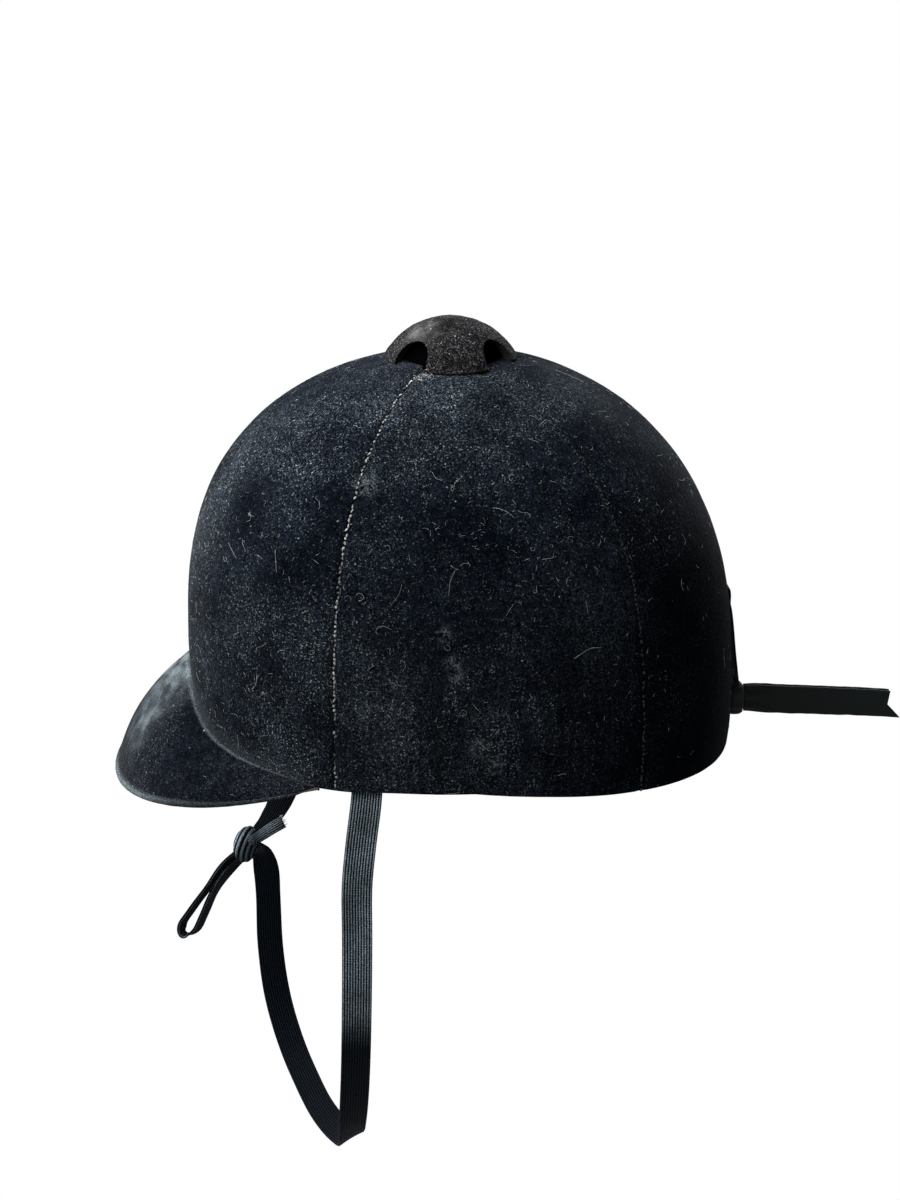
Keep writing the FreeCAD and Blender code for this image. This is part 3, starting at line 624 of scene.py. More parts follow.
class Shader(Graph):
    """A material's graph, with one principled shader."""

    def __init__(self, name: str) -> None:
        """Start the material.

        Args:
            name: Name of the material.
        """
        self.material = bpy.data.materials.new(name)
        super().__init__(self.material)
        self.shader = self.add("ShaderNodeBsdfPrincipled")
        self.add("ShaderNodeOutputMaterial", None, {0: self.shader.outputs[0]})

    def shade(self, colour: object, rough: object, normal: Socket | None = None,
              fixed: dict | None = None) -> Material:
        """Set the shader and hand the material over.

        Args:
            colour: Base colour or socket.
            rough: Roughness or socket.
            normal: Bumped normal.
            fixed: Other inputs of the shader, by name.

        Returns:
            The material.
        """
        self.fill(self.shader, {"Base Color": colour, "Roughness": rough, **(fixed or {})})
        if normal is not None:
            self.fill(self.shader, {"Normal": normal})
        return self.material


@dataclass(frozen=True)
class VelvetFinish:
    """Short cotton velvet with streaked nap, dust and specks of lint, with painted shade towards the rear and
    painted highlights on raised nap and along the peak's crease.
    """

    name: str
    ground: Colour = (0.0005, 0.0009, 0.0022)
    nap: Colour = (0.0075, 0.0120, 0.0215)
    dust: Colour = (0.29, 0.345, 0.375)
    dust_share: float = 1.05
    grain_share: float = 0.20
    sheen: float = 0.068
    sheen_colour: Colour = (0.74, 0.80, 0.84)
    sheen_rough: float = 0.32
    streak_turn: Triple = (0.0, 0.0, 0.0)
    scuffs: tuple[tuple[Triple, float], ...] = ()
    lighter_patches: tuple[tuple[Triple, float], ...] = ()
    lighter_patch_share: float = 0.5
    raised_nap_highlights: tuple[tuple[Triple, float], ...] = ()
    raised_nap_highlight_share: float = 0.135
    rear_shade_and_less_dust: float = 0.75

    def make(self) -> Material:
        """Build the velvet.

        Returns:
            The material.
        """
        g = Shader(self.name)
        at = g.objects()
        pile = g.noise(at, 1600.0, 2.0, 0.7)
        clump = g.noise(at, 420.0, 3.0, 0.6)
        drift = g.noise(at, 42.0, 4.0, 0.62)
        streak = g.noise(g.mapped(at, (1.0, 1.0, 0.11), self.streak_turn), 430.0, 2.0, 0.6)
        tone = g.times(g.band(pile, 0.34, 0.72), g.band(clump, 0.28, 0.72))
        tone = g.plus(tone, g.times(g.band(streak, 0.46, 0.76), 0.5))
        tone = g.times(tone, g.scaled(g.band(drift, 0.28, 0.72), 0.8, 0.35))
        # Painted shade: the nap is darkened towards the rear on the camera's side of the cap.
        x, y, _ = g.split(at)
        near_side = g.band(x, -0.02, 0.05)
        shaded = g.times(g.band(y, 0.035, 0.100), near_side, self.rear_shade_and_less_dust)
        tone = g.times(tone, g.math("SUBTRACT", 1.0, g.times(shaded, 0.9)))
        colour = g.blend(tone, self.ground, self.nap)
        # Painted highlight: lighter raised nap at given places on the top, front and sides, standing in for
        # the light that falls there.
        highlight_grain = g.times(g.band(g.noise(at, 1050.0, 3.0, 0.75), 0.44, 0.74), g.band(drift, 0.16, 0.74))
        colour = self.lighten_at(g, at, highlight_grain, colour, self.raised_nap_highlights, self.raised_nap_highlight_share)
        colour = g.blend(self.dusting(g, at, drift), colour, self.dust)
        patchy = g.times(g.band(pile, 0.38, 0.66), g.band(clump, 0.40, 0.62))
        colour = self.lighten_at(g, at, patchy, colour, self.scuffs, 0.5)
        # Lighter patches of nap at given places, broken up by streaks.
        smear = g.noise(g.mapped(at, (1.0, 1.0, 0.35), self.streak_turn), 150.0, 3.0, 0.5)
        soft = g.scaled(g.band(smear, 0.36, 0.70), 0.70, 0.16)
        soft = g.times(soft, g.scaled(g.band(pile, 0.3, 0.7), 0.5, 0.6))
        soft = g.times(soft, g.band(drift, 0.22, 0.62))
        colour = self.lighten_at(g, at, soft, colour, self.lighter_patches, self.lighter_patch_share)
        # The "rib" attribute lightens the nap towards the dust colour: painted highlights along the peak's
        # crease and its rolled lip, and lighter nap on the corded edge.
        lightening = g.rib()
        lightening = g.times(lightening, g.scaled(g.band(pile, 0.35, 0.62), 0.8, 0.12))
        colour = g.blend(g.times(lightening, 0.70), colour, self.dust)
        relief = g.bump(clump, 0.0006, 0.55)
        normal = g.bump(pile, 0.0004, 0.8, relief)
        return g.shade(colour, 0.9, normal, {
            "Sheen Weight": self.sheen, "Sheen Roughness": self.sheen_rough, "Sheen Tint": self.sheen_colour,
            "Specular IOR Level": 0.0})

    def dusting(self, g: Graph, at: Socket, drift: Socket) -> Socket:
        """Return where specks of dust lie: many faint ones and a few bright ones, fewer towards the rear,
        partly as painted shade.

        Args:
            g: The graph.
            at: Coordinates.
            drift: Slow noise that gathers the dust.

        Returns:
            Share of dust, from 0 to 1.
        """
        slow = g.scaled(g.band(g.noise(at, 17.0, 3.0, 0.6), 0.36, 0.64), 0.75, 0.35)
        gathered = g.scaled(g.band(drift, 0.32, 0.68), 0.75, 0.28)
        gathered = g.times(gathered, slow)
        grain = g.band(g.noise(at, 1050.0, 3.0, 0.78), 0.44, 0.74)
        grain = g.times(grain, grain, g.times(gathered, self.grain_share))
        grit = g.band(g.noise(at, 2300.0, 2.0, 0.75), 0.57, 0.86)
        fine = g.cells(at, 1250.0)
        chance = g.split(fine.outputs["Color"])[0]
        specks = g.times(g.band(fine.outputs["Distance"], 0.50, 0.10),
                         g.band(chance, 0.60, 1.15))
        specks = g.times(g.plus(grit, specks), gathered)
        flecks = g.cells(at, 330.0)
        pick = g.split(flecks.outputs["Color"])[1]
        bright = g.times(g.band(flecks.outputs["Distance"], 0.15, 0.05),
                         g.band(pick, 0.86, 1.05))
        total = g.math("ADD", g.times(specks, self.dust_share), g.plus(bright, grain), clamp=True)
        # Fewer specks towards the rear: less dust there, and painted shade.
        x, y, _ = g.split(at)
        rear = g.times(g.band(y, 0.015, 0.105), g.band(x, -0.03, 0.04))
        rear_thinning = g.math("SUBTRACT", 1.0, g.times(rear, self.rear_shade_and_less_dust))
        return g.times(total, rear_thinning)

    def lighten_at(self, g: Graph, at: Socket, grain: Socket, colour: Socket,
            places: Sequence[tuple[Triple, float]], strength: float) -> Socket:
        """Lighten the nap at rubbed places.

        Args:
            g: The graph.
            at: Coordinates.
            grain: Pattern that breaks the lightening up.
            colour: Colour so far.
            places: Centres and radii.
            strength: Share of dust colour in the middle.

        Returns:
            The colour with the lightened places.
        """
        for centre, radius in places:
            share = g.times(g.spot(at, centre, radius), grain, strength)
            colour = g.blend(share, colour, self.dust)
        return colour


@dataclass(frozen=True)
class ElasticFinish:
    """Ribbed, corded elastic: a fine cross weave over lengthwise ribs."""

    name: str
    valley: Colour = (0.0003, 0.0005, 0.0009)
    crest: Colour = (0.0105, 0.0160, 0.0250)
    pale_lit_valley: Colour = (0.002, 0.004, 0.006)
    pale_lit_crest: Colour = (0.56, 0.69, 0.78)
    length: float = 0.5

    def make(self) -> Material:
        """Build the elastic.

        Returns:
            The material.
        """
        g = Shader(self.name)
        at = g.objects()
        across, along, _ = g.split(g.uv())
        rib = g.rib()
        ripple = g.math("SINE", g.times(along, self.length / 0.0009 * math.pi * 2.0))
        yarn = g.noise(at, 1500.0, 2.0)
        weave = g.times(g.band(ripple, -0.9, 0.9), g.band(yarn, 0.25, 0.7))
        # Painted highlight on the rib crests and painted shade in the grooves, on top of the modelled ribs.
        lit = g.times(g.band(rib, 0.52, 0.99), g.scaled(weave, 0.75, 0.25))
        pale_and_lit_share = self.pale_and_lit(g, at, across)
        low = g.blend(pale_and_lit_share, self.valley, self.pale_lit_valley)
        high = g.blend(pale_and_lit_share, self.crest, self.pale_lit_crest)
        colour = g.blend(lit, low, high)
        relief = g.bump(rib, 0.0003, 0.6)
        normal = g.bump(weave, 0.00014, 0.6, relief)
        return g.shade(colour, 0.75, normal, {
            "Sheen Weight": 0.02, "Sheen Roughness": 0.4, "Sheen Tint": (0.7, 0.8, 0.9),
            "Specular IOR Level": 0.02})

    def pale_and_lit(self, g: Graph, at: Socket, across: Socket) -> Socket:
        """Return where the elastic is lighter: paler on its outer run and the knot, with a painted highlight
        on the cut end and on the edges of the loop's strands.

        Args:
            g: The elastic's graph.
            at: Object coordinates.
            across: Share of the band's width.

        Returns:
            A socket from 0 to 1.
        """
        x, y, z = g.split(at)
        patch = g.scaled(g.band(g.noise(at, 55.0, 3.0), 0.30, 0.70), 0.5, 0.5)
        run = g.times(g.band(x, 0.052, 0.074), g.band(z, -0.126, -0.096))
        knot = g.times(g.spot(at, (-0.080, -0.091, -0.094), 0.0135), 0.8)
        # Painted highlight on the cut end.
        cut = g.times(g.spot(at, (-0.071, -0.076, -0.082), 0.014), 0.75)
        # Painted highlight along the edges of the loop's strands.
        edge_highlight = g.math("ABSOLUTE", g.math("COSINE", g.times(across, 2.0 * math.pi)))
        edge_highlight = g.scaled(g.band(edge_highlight, 0.86, 0.97), 0.60, 0.14)
        loop = g.times(g.band(y, -0.093, -0.102), edge_highlight)
        shown = g.math("MAXIMUM", g.math("MAXIMUM", run, knot), g.math("MAXIMUM", cut, loop))
        return g.times(shown, patch)


@dataclass(frozen=True)
class RibbonFinish:
    """Corded ribbon with fine ribs across it and a firm woven edge."""

    name: str
    ground: Colour = (0.0030, 0.0042, 0.0044)
    crest: Colour = (0.0085, 0.0125, 0.0125)
    cords: float = 90.0

    def make(self) -> Material:
        """Build the ribbon.

        Returns:
            The material.
        """
        g = Shader(self.name)
        at = g.objects()
        across, along, _ = g.split(g.uv())
        cord = g.math("SINE", g.times(along, self.cords * math.pi * 2.0))
        cord = g.band(cord, -1.0, 1.0)
        fuzz = g.noise(at, 900.0, 3.0, 0.6)
        edge = g.band(g.math("ABSOLUTE", g.math("SUBTRACT", across, 0.5)), 0.455, 0.475)
        tone = g.times(cord, g.band(fuzz, 0.2, 0.8))
        colour = g.blend(tone, self.ground, self.crest)
        colour = g.blend(g.times(edge, 0.35), colour, (0.016, 0.020, 0.020))
        relief = g.bump(cord, 0.00015, 0.6)
        normal = g.bump(fuzz, 0.0001, 0.4, relief)
        return g.shade(colour, 0.62, normal, {
            "Sheen Weight": 0.04, "Sheen Roughness": 0.4, "Sheen Tint": (0.75, 0.85, 0.85),
            "Specular IOR Level": 0.09})


@dataclass(frozen=True)
class LeatherFinish:
    """Smooth leather of uneven colour, with fine dark creases."""

    name: str
    base: Colour = (0.115, 0.058, 0.030)
    dark: Colour = (0.045, 0.020, 0.011)

    def make(self) -> Material:
        """Build the leather.

        Returns:
            The material.
        """
        g = Shader(self.name)
        at = g.objects()
        grain = g.cells(at, 900.0, "DISTANCE_TO_EDGE").outputs["Distance"]
        crease = g.band(grain, 0.0, 0.12)
        tone = g.noise(at, 45.0, 4.0, 0.6)
        colour = g.blend(g.band(tone, 0.35, 0.7), self.dark, self.base)
        colour = g.blend(g.math("SUBTRACT", 1.0, crease), colour, self.dark)
        rough = g.plus(0.38, g.times(tone, 0.2))
        normal = g.bump(crease, 0.00012, 0.5)
        return g.shade(colour, rough, normal, {"Specular IOR Level": 0.4})


@dataclass(frozen=True)
class ClothFinish:
    """Plain woven cloth, from dull felt to bright satin."""

    name: str
    warp: Colour
    weft: Colour
    threads: float = 2600.0
    rough: float = 0.6
    sheen: float = 0.1
    gloss: float = 0.3

    def make(self) -> Material:
        """Build the cloth.

        Returns:
            The material.
        """
        g = Shader(self.name)
        at = g.objects()
        x, y, z = g.split(at)
        warp = g.math("SINE", g.times(g.plus(x, y), self.threads))
        weft = g.math("SINE", g.times(z, self.threads))
        weave = g.band(g.times(warp, weft), -1.0, 1.0)
        tone = g.noise(at, 30.0, 3.0, 0.6)
        colour = g.blend(weave, self.warp, self.weft)
        colour = g.blend(g.times(g.band(tone, 0.4, 0.8), 0.4), colour, self.warp)
        normal = g.bump(weave, 0.00008, 0.4)
        return g.shade(colour, self.rough, normal, {
            "Sheen Weight": self.sheen, "Sheen Roughness": 0.4, "Specular IOR Level": self.gloss})


@dataclass(frozen=True)
class MetalFinish:
    """Turned or plated metal with fine brushing and dull spots."""

    name: str
    base: Colour
    dull: Colour
    rough: float = 0.32

    def make(self) -> Material:
        """Build the metal.

        Returns:
            The material.
        """
        g = Shader(self.name)
        at = g.objects()
        brush = g.noise(g.mapped(at, (1.0, 1.0, 14.0)), 300.0, 3.0, 0.7)
        spots = g.band(g.noise(at, 320.0, 4.0, 0.6), 0.55, 0.75)
        colour = g.blend(g.times(spots, 0.6), self.base, self.dull)
        rough = g.plus(self.rough, g.times(spots, 0.25))
        normal = g.bump(brush, 0.00003, 0.3)
        return g.shade(colour, rough, normal, {"Metallic": 1.0})


@dataclass(frozen=True)
class HardFinish:
    """Laminated or pressed sheet, with chopped fibres just under its surface."""

    name: str
    base: Colour
    fibre: Colour
    rough: float = 0.4
    scale: float = 120.0

    def make(self) -> Material:
        """Build the laminate.

        Returns:
            The material.
        """
        g = Shader(self.name)
        at = g.objects()
        strands = g.noise(g.mapped(at, (1.0, 0.15, 0.6), (0.4, 0.6, 0.9)), self.scale * 3, 3.0, 0.7, 0.6)
        cloud = g.noise(at, self.scale * 0.4, 3.0, 0.6)
        colour = g.blend(g.band(strands, 0.45, 0.7), self.base, self.fibre)
        rough = g.plus(self.rough, g.times(cloud, 0.2))
        normal = g.bump(strands, 0.0001, 0.4)
        return g.shade(colour, rough, normal, {"Specular IOR Level": 0.4})


@dataclass(frozen=True)
class FoamFinish:
    """Crushable foam: closed beads with dark joints."""

    name: str
    base: Colour = (0.55, 0.53, 0.48)
    joint: Colour = (0.25, 0.24, 0.21)

    def make(self) -> Material:
        """Build the foam.

        Returns:
            The material.
        """
        g = Shader(self.name)
        at = g.objects()
        beads = g.band(g.cells(at, 380.0, "DISTANCE_TO_EDGE").outputs["Distance"], 0.0, 0.09)
        colour = g.blend(beads, self.joint, self.base)
        colour = g.blend(g.times(g.noise(at, 60.0, 3.0), 0.25), colour, self.joint)
        return g.shade(colour, 0.85, g.bump(beads, 0.0002, 0.6), {"Specular IOR Level": 0.2})


@dataclass(frozen=True)
class ThreadFinish:
    """Sewing thread, dusty where it stands up from the seam."""

    name: str
    deep: Colour = (0.020, 0.022, 0.026)
    dusty: Colour = (0.50, 0.51, 0.50)
    low: float = 0.34
    high: float = 0.60

    def make(self) -> Material:
        """Build the thread.

        Returns:
            The material.
        """
        g = Shader(self.name)
        at = g.objects()
        high = g.band(g.split(at)[2], 0.06, 0.13)
        dust = g.math("ADD", g.band(g.noise(at, 130.0, 3.0, 0.7), self.low, self.high), g.times(high, 0.22),
                      clamp=True)
        dust = g.times(dust, g.band(g.noise(at, 620.0, 2.0), 0.25, 0.60))
        ply = g.noise(at, 2600.0, 1.0)
        colour = g.blend(dust, self.deep, self.dusty)
        colour = g.blend(g.times(g.band(ply, 0.3, 0.6), 0.5), colour, self.deep)
        return g.shade(colour, 0.8, g.bump(ply, 0.00006, 0.5), {"Specular IOR Level": 0.2})


class Finishes:
    """Every finish of the cap, made once."""

    def __init__(self) -> None:
        """Build the materials."""
        self.velvet = VelvetFinish(
            "velvet",
            scuffs=(((0.0935, -0.0122, 0.0665), 0.0050), ((0.0945, -0.0088, 0.0545), 0.0054),
                    ((0.0945, -0.0078, 0.0500), 0.0046), ((0.095, 0.0020, 0.0190), 0.0060),
                    ((0.095, 0.0075, 0.0120), 0.0055), ((0.066, -0.0395, 0.1195), 0.0075)),
            raised_nap_highlights=(((0.008, -0.110, 0.085), 0.034), ((0.020, -0.078, 0.125), 0.044),
                    ((0.035, -0.010, 0.158), 0.052), ((0.020, 0.055, 0.145), 0.040),
                    ((0.090, -0.030, 0.030), 0.045), ((0.085, 0.045, 0.065), 0.040))).make()
        self.peak_velvet = VelvetFinish(
            "velvet_of_peak", nap=(0.010, 0.0125, 0.0185), sheen=0.12, streak_turn=(1.2, 0.0, 0.5),
            dust_share=0.45, grain_share=0.10, lighter_patch_share=0.62,
            lighter_patches=(((0.004, -0.116, 0.023), 0.025), ((0.012, -0.128, 0.004), 0.019),
                  ((0.021, -0.133, -0.012), 0.007))).make()
        self.button_velvet = VelvetFinish(
            "velvet_of_button", ground=(0.0018, 0.0017, 0.0021), nap=(0.015, 0.0145, 0.018),
            dust=(0.34, 0.335, 0.33), dust_share=1.2, grain_share=0.55,
            sheen=0.08, sheen_colour=(0.80, 0.78, 0.80),
            scuffs=(((0.0225, -0.0205, 0.1585), 0.0028), ((0.0215, -0.0165, 0.1625), 0.0028),
                    ((0.0235, -0.0115, 0.163), 0.0026), ((0.0275, -0.0125, 0.157), 0.0022)),
            lighter_patches=(((0.010, -0.012, 0.170), 0.014),), lighter_patch_share=0.42, rear_shade_and_less_dust=0.0).make()
        self.piping_velvet = VelvetFinish(
            "velvet_of_edging", nap=(0.012, 0.014, 0.018), dust_share=0.7, sheen=0.12,
            streak_turn=(1.5, 0.0, 0.0), rear_shade_and_less_dust=0.0).make()
        self.thread = ThreadFinish("seam_thread", dusty=(0.56, 0.57, 0.55)).make()
        self.dark_thread = ThreadFinish(
            "dark_seam_thread", (0.004, 0.005, 0.007), (0.03, 0.032, 0.036)).make()
        self.waxed_thread = ThreadFinish("waxed_thread", (0.10, 0.055, 0.03), (0.24, 0.16, 0.10)).make()
        self.lint = ThreadFinish("lint", (0.22, 0.23, 0.23), (0.70, 0.71, 0.69)).make()
        self.black_core = HardFinish(
            "black_lacquer", (0.004, 0.004, 0.005), (0.008, 0.008, 0.009), 0.45).make()
        self.elastic = ElasticFinish("ribbed_elastic").make()
        self.shaded_elastic = ElasticFinish("shaded_elastic", pale_lit_valley=(0.0003, 0.0005, 0.0009),
                                            pale_lit_crest=(0.010, 0.014, 0.019)).make()
        self.ribbon = RibbonFinish("corded_ribbon").make()
        self.leather = LeatherFinish("brown_leather").make()
        self.satin = ClothFinish("lining_satin", (0.050, 0.012, 0.018), (0.085, 0.022, 0.030),
                                 rough=0.36, sheen=0.15, gloss=0.45).make()
        self.underlining = ClothFinish("peak_cloth", (0.018, 0.022, 0.020), (0.030, 0.036, 0.033),
                                       rough=0.7, sheen=0.2).make()
        self.felt = ClothFinish("pad_felt", (0.10, 0.10, 0.105), (0.15, 0.15, 0.155),
                                threads=1800.0, rough=0.9, sheen=0.3, gloss=0.1).make()
        self.gauze = ClothFinish("black_gauze", (0.0004, 0.0004, 0.0005), (0.0012, 0.0012, 0.0014),
                                 threads=5200.0, rough=0.9, sheen=0.0, gloss=0.0).make()
        self.shell = HardFinish(
            "glass_fibre_shell", (0.045, 0.042, 0.030), (0.085, 0.080, 0.060), 0.28).make()
        self.board = HardFinish("pressed_board", (0.060, 0.052, 0.045), (0.095, 0.085, 0.075), 0.7).make()
        self.foam = FoamFinish("liner_foam").make()
        self.steel = MetalFinish("plated_steel", (0.56, 0.56, 0.57), (0.30, 0.29, 0.28)).make()
        self.brass = MetalFinish("turned_brass", (0.62, 0.47, 0.21), (0.32, 0.22, 0.10)).make()


@dataclass
class Shop:
    """The loaded frame's nodes and the finishes, shared by every sub-assembly."""

    nodes: dict[str, Piece]
    finishes: Finishes

    def dress(self, piece: Piece, material: Material, slot: str,
              replaced: Sequence[str] = (), body: Body = Body.CAP) -> Piece:
        """Give a new piece its finish and body, and hide the nodes that it stands for.

        Args:
            piece: The piece.
            material: Its material.
            slot: The record's material slot, not used.
            replaced: Nodes of the frame that it stands for.
            body: The body that it rides on.

        Returns:
            The piece.
        """
        piece.data.materials.clear()
        piece.data.materials.append(material)
        if replaced:
            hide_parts(*replaced)
        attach(piece, body.value)
        LOG.info("%s: %d faces, %.5f m2", piece.name, len(piece.data.polygons), mesh_area(piece))
        return piece

    def refinish(self, material: Material, *names: str) -> None:
        """Give carried-over nodes a better material.

        Args:
            material: The material.
            names: Names of the nodes.
        """
        for name in names:
            piece = self.nodes[name]
            if not piece.material_slots:
                piece.data.materials.append(material)
            for slot in piece.material_slots:
                slot.material = material

    def copy_of(self, name: str, node: str) -> Piece:
        """Copy a node's mesh as a new piece, with its loose triangles merged.

        Args:
            name: Name of the piece.
            node: Name of the node.

        Returns:
            The new piece.
        """
        mesh = bmesh.new()
        mesh.from_mesh(self.nodes[node].data)
        bmesh.ops.remove_doubles(mesh, verts=mesh.verts, dist=1e-6)
        return finish_mesh(name, mesh)


# ---- velvet cover


class Quarter(Enum):
    """The four panels of the velvet cover."""

    FRONT = "front"
    LEFT = "left"
    REAR = "rear"
    RIGHT = "right"


@dataclass
class VelvetCover:
    """Four velvet panels over the dome, the stitching in their seams and the bound rim."""

    shop: Shop
    columns: int = 78
    rows: int = 92
    edge_steps: tuple[float, ...] = (0.0, 0.00035, 0.0008, 0.0014, 0.0023, 0.0036, 0.0055)
    foot_steps: tuple[float, ...] = (0.0, 0.00012, 0.0004, 0.0008, 0.0013, 0.002, 0.0032)
    seam_dip: float = 0.00105
    seam_width: float = 0.00085
    foot_roll: float = 0.0013
    hole: float = 0.014
    thickness: float = 0.001
    stitch_pitch: float = 0.0019
    stitch: tuple[float, float] = (0.00050, 0.00105)
    stitch_sink: tuple[float, float] = (0.00012, 0.00042)
    button_radius: float = 0.0288
    droop_above: float = 0.00095
    crease_highlight_span: float = 62.0
    crease_highlight_fade: float = 14.0
    crease_highlight_height: float = 0.0060
    crease_highlight_strength: float = 0.11
    bounds: dict = field(default_factory=dict)

    def build(self) -> None:
        """Make the panels, the stitches and the rim."""
        for quarter in Quarter:
            self.panel(quarter)
        self.stitches("front", SEAMS.front, self.shop.finishes.thread)
        self.stitches("rear", SEAMS.rear, self.shop.finishes.dark_thread)
        self.rim_binding()

    def top(self) -> float:
        """Return the level of the air hole's edge."""
        return FORM.level_of(self.hole, 0.0)

    def climb(self, row: int) -> float:
        """Return how far up the wall a row lies, from 0 at the rim to 1 at the hole.

        Args:
            row: Number of the row.

        Returns:
            The share.
        """
        if row < len(self.foot_steps):
            return self.foot_steps[row] / self.top()
        first = self.foot_steps[-1] / self.top()
        share = (row - len(self.foot_steps) + 1) / (self.rows - len(self.foot_steps) + 1)
        return mix(first, 1.0, math.sin(share * math.pi / 2) ** 0.95)

    def seam_turn(self, seam: Callable[[float], float], climb: float) -> float:
        """Find the turn of a seam on the left side.

        Args:
            seam: Gives the seam's turn at a level.
            climb: Share of the way up the wall.

        Returns:
            The turn in degrees.
        """
        turn = seam(mix(0.0, self.top(), climb))
        for _ in range(2):
            turn = seam(mix(FORM.rim(turn), self.top(), climb))
        return turn

    def row_bounds(self, quarter: Quarter, row: int) -> tuple[float, float, float]:
        """Find where a panel's row starts and ends.

        Args:
            quarter: The panel.
            row: Number of the row.

        Returns:
            First turn, last turn and the row's length in metres.
        """
        key = (quarter, row)
        if key not in self.bounds:
            climb = self.climb(row)
            front = self.seam_turn(SEAMS.front, climb)
            rear = self.seam_turn(SEAMS.rear, climb)
            turns = {Quarter.FRONT: (-180.0 - front, front), Quarter.LEFT: (front, rear),
                     Quarter.REAR: (rear, 180.0 - rear), Quarter.RIGHT: (180.0 - rear, 180.0 - front)}
            first, last = turns[quarter]
            level = mix(0.0, self.top(), climb)
            places = [FORM.point(mix(first, last, i / 8), level) for i in range(9)]
            length = sum((b - a).length for a, b in zip(places, places[1:]))
            self.bounds[key] = (first, last, length)
        return self.bounds[key]

    def column_share(self, column: int, length: float) -> float:
        """Return how far along its row a column lies, crowded towards both seams.

        Args:
            column: Number of the column.
            length: The row's length.

        Returns:
            The share.
        """
        last = len(self.edge_steps) - 1
        limit = 0.5 * last / (last + 3)
        crowd = [min(step / length, limit * i / last) for i, step in enumerate(self.edge_steps)]
        if column <= last:
            return crowd[column]
        if column >= self.columns - last:
            return 1.0 - crowd[self.columns - column]
        return mix(crowd[last], 1.0 - crowd[last], (column - last) / (self.columns - 2 * last))

    def panel(self, quarter: Quarter) -> None:
        """Make one velvet panel.

        Args:
            quarter: Which panel.
        """
        def place(across: float, up: float) -> Vector:
            """Return the point at a share across and up."""
            row, column = round(up * self.rows), round(across * self.columns)
            first, last, length = self.row_bounds(quarter, row)
            share = self.column_share(column, length)
            turn = mix(first, last, share)
            rim = FORM.rim(turn)
            level = mix(rim, self.top(), self.climb(row))
            gap = min(share, 1.0 - share) * length
            dip = self.seam_dip * math.exp(-((gap / self.seam_width) ** 1.3))
            above = level - rim
            if above < self.foot_roll:
                dip += self.foot_roll - math.sqrt(self.foot_roll**2 - (self.foot_roll - above) ** 2)
            spot = FORM.point(turn, level)
            dip += 0.00018 * (noise.noise(spot * 45.0) + 0.5 * noise.noise(spot * 110.0))
            return spot - FORM.outward(turn, level) * dip

        # Painted highlight along the crease where the velvet turns into the peak, kept in the "rib"
        # attribute.
        def crease_highlight(across: float, up: float) -> float:
            """Return the painted highlight in a band just above the peak's crease, at a share across and up.
            """
            row = round(up * self.rows)
            first, last, length = self.row_bounds(quarter, row)
            span = mix(first, last, self.column_share(round(across * self.columns), length)) + 90.0
            if abs(span) > self.crease_highlight_span:
                return 0.0
            level = mix(FORM.rim(span - 90.0), self.top(), self.climb(row))
            above = level - FORM.crease(span)
            fade = smooth((self.crease_highlight_span - abs(span)) / self.crease_highlight_fade)
            return self.crease_highlight_strength * fade * math.exp(-((above / self.crease_highlight_height) ** 2))

        piece = finish_mesh(f"velvet_panel_{quarter.value}",
                            lay_grid(self.columns, self.rows, place, mark=crease_highlight))
        self.shop.dress(piece, self.shop.finishes.velvet, "velvet", [f"velvet_{quarter.value}_panel"])
        add_thickness(piece, self.thickness)

    def seam_path(self, seam: Callable[[float], float], side: Side) -> list[tuple[Vector, Vector]]:
        """Follow a seam from the rim up to the button.

        Args:
            seam: Gives the seam's turn at a level.
            side: The side of the cap.

        Returns:
            Places a stitch apart, with the outward direction at each.
        """
        top = FORM.level_of(self.button_radius - 0.002, 0.0)
        found = []
        walked, before = 0.0, None
        for i in range(1400):
            climb = math.sin(i / 1399 * math.pi / 2) * top / self.top()
            turn = self.seam_turn(seam, climb)
            level = mix(FORM.rim(turn) + 0.0012, self.top(), climb)
            if side is Side.RIGHT:
                turn = 180.0 - turn
            spot = FORM.point(turn, level)
            if before is not None:
                walked += (spot - before).length
            before = spot
            if walked >= self.stitch_pitch * len(found):
                found.append((spot, FORM.outward(turn, level)))
        return found

    def stitches(self, name: str, seam: Callable[[float], float], material: Material) -> None:
        """Sew one pair of seams with small thread stitches.

        Args:
            name: Name of the pair.
            seam: Gives the seam's turn at a level on the left side.
            material: The thread.
        """
        rng = random.Random(len(name))
        seeds = Grains()
        for side in Side:
            path = self.seam_path(seam, side)
            for (spot, out), (after, _) in zip(path, path[1:]):
                along = (after - spot).normalized()
                over = out.cross(along).normalized()
                along = (along + over * rng.uniform(-0.7, 0.7)).normalized()
                over = out.cross(along).normalized()
                if rng.random() < 0.10:
                    continue
                size = rng.uniform(*self.stitch)
                aside = over * rng.uniform(-0.00035, 0.00035) + along * rng.uniform(-0.0003, 0.0003)
                seeds.add(spot + aside - out * rng.uniform(*self.stitch_sink), along * size,
                          over * rng.uniform(0.00030, 0.00062), out * 0.00036)
        piece = seeds.made(f"seam_stitches_{name}")
        self.shop.dress(piece, material, "thread", ["seam_threads"])

    def droop(self, spot: Vector) -> float:
        """Return how far the rim velvet sags at a place, most where the peak runs into the rim."""
        by_peak = 0.0013 * math.exp(-(((spot.y + 0.054) / 0.016) ** 2))
        along_side = 0.0008 * math.exp(-(((spot.y + 0.005) / 0.030) ** 2))
        return (by_peak + along_side) * smooth((abs(spot.x) - 0.055) / 0.012)

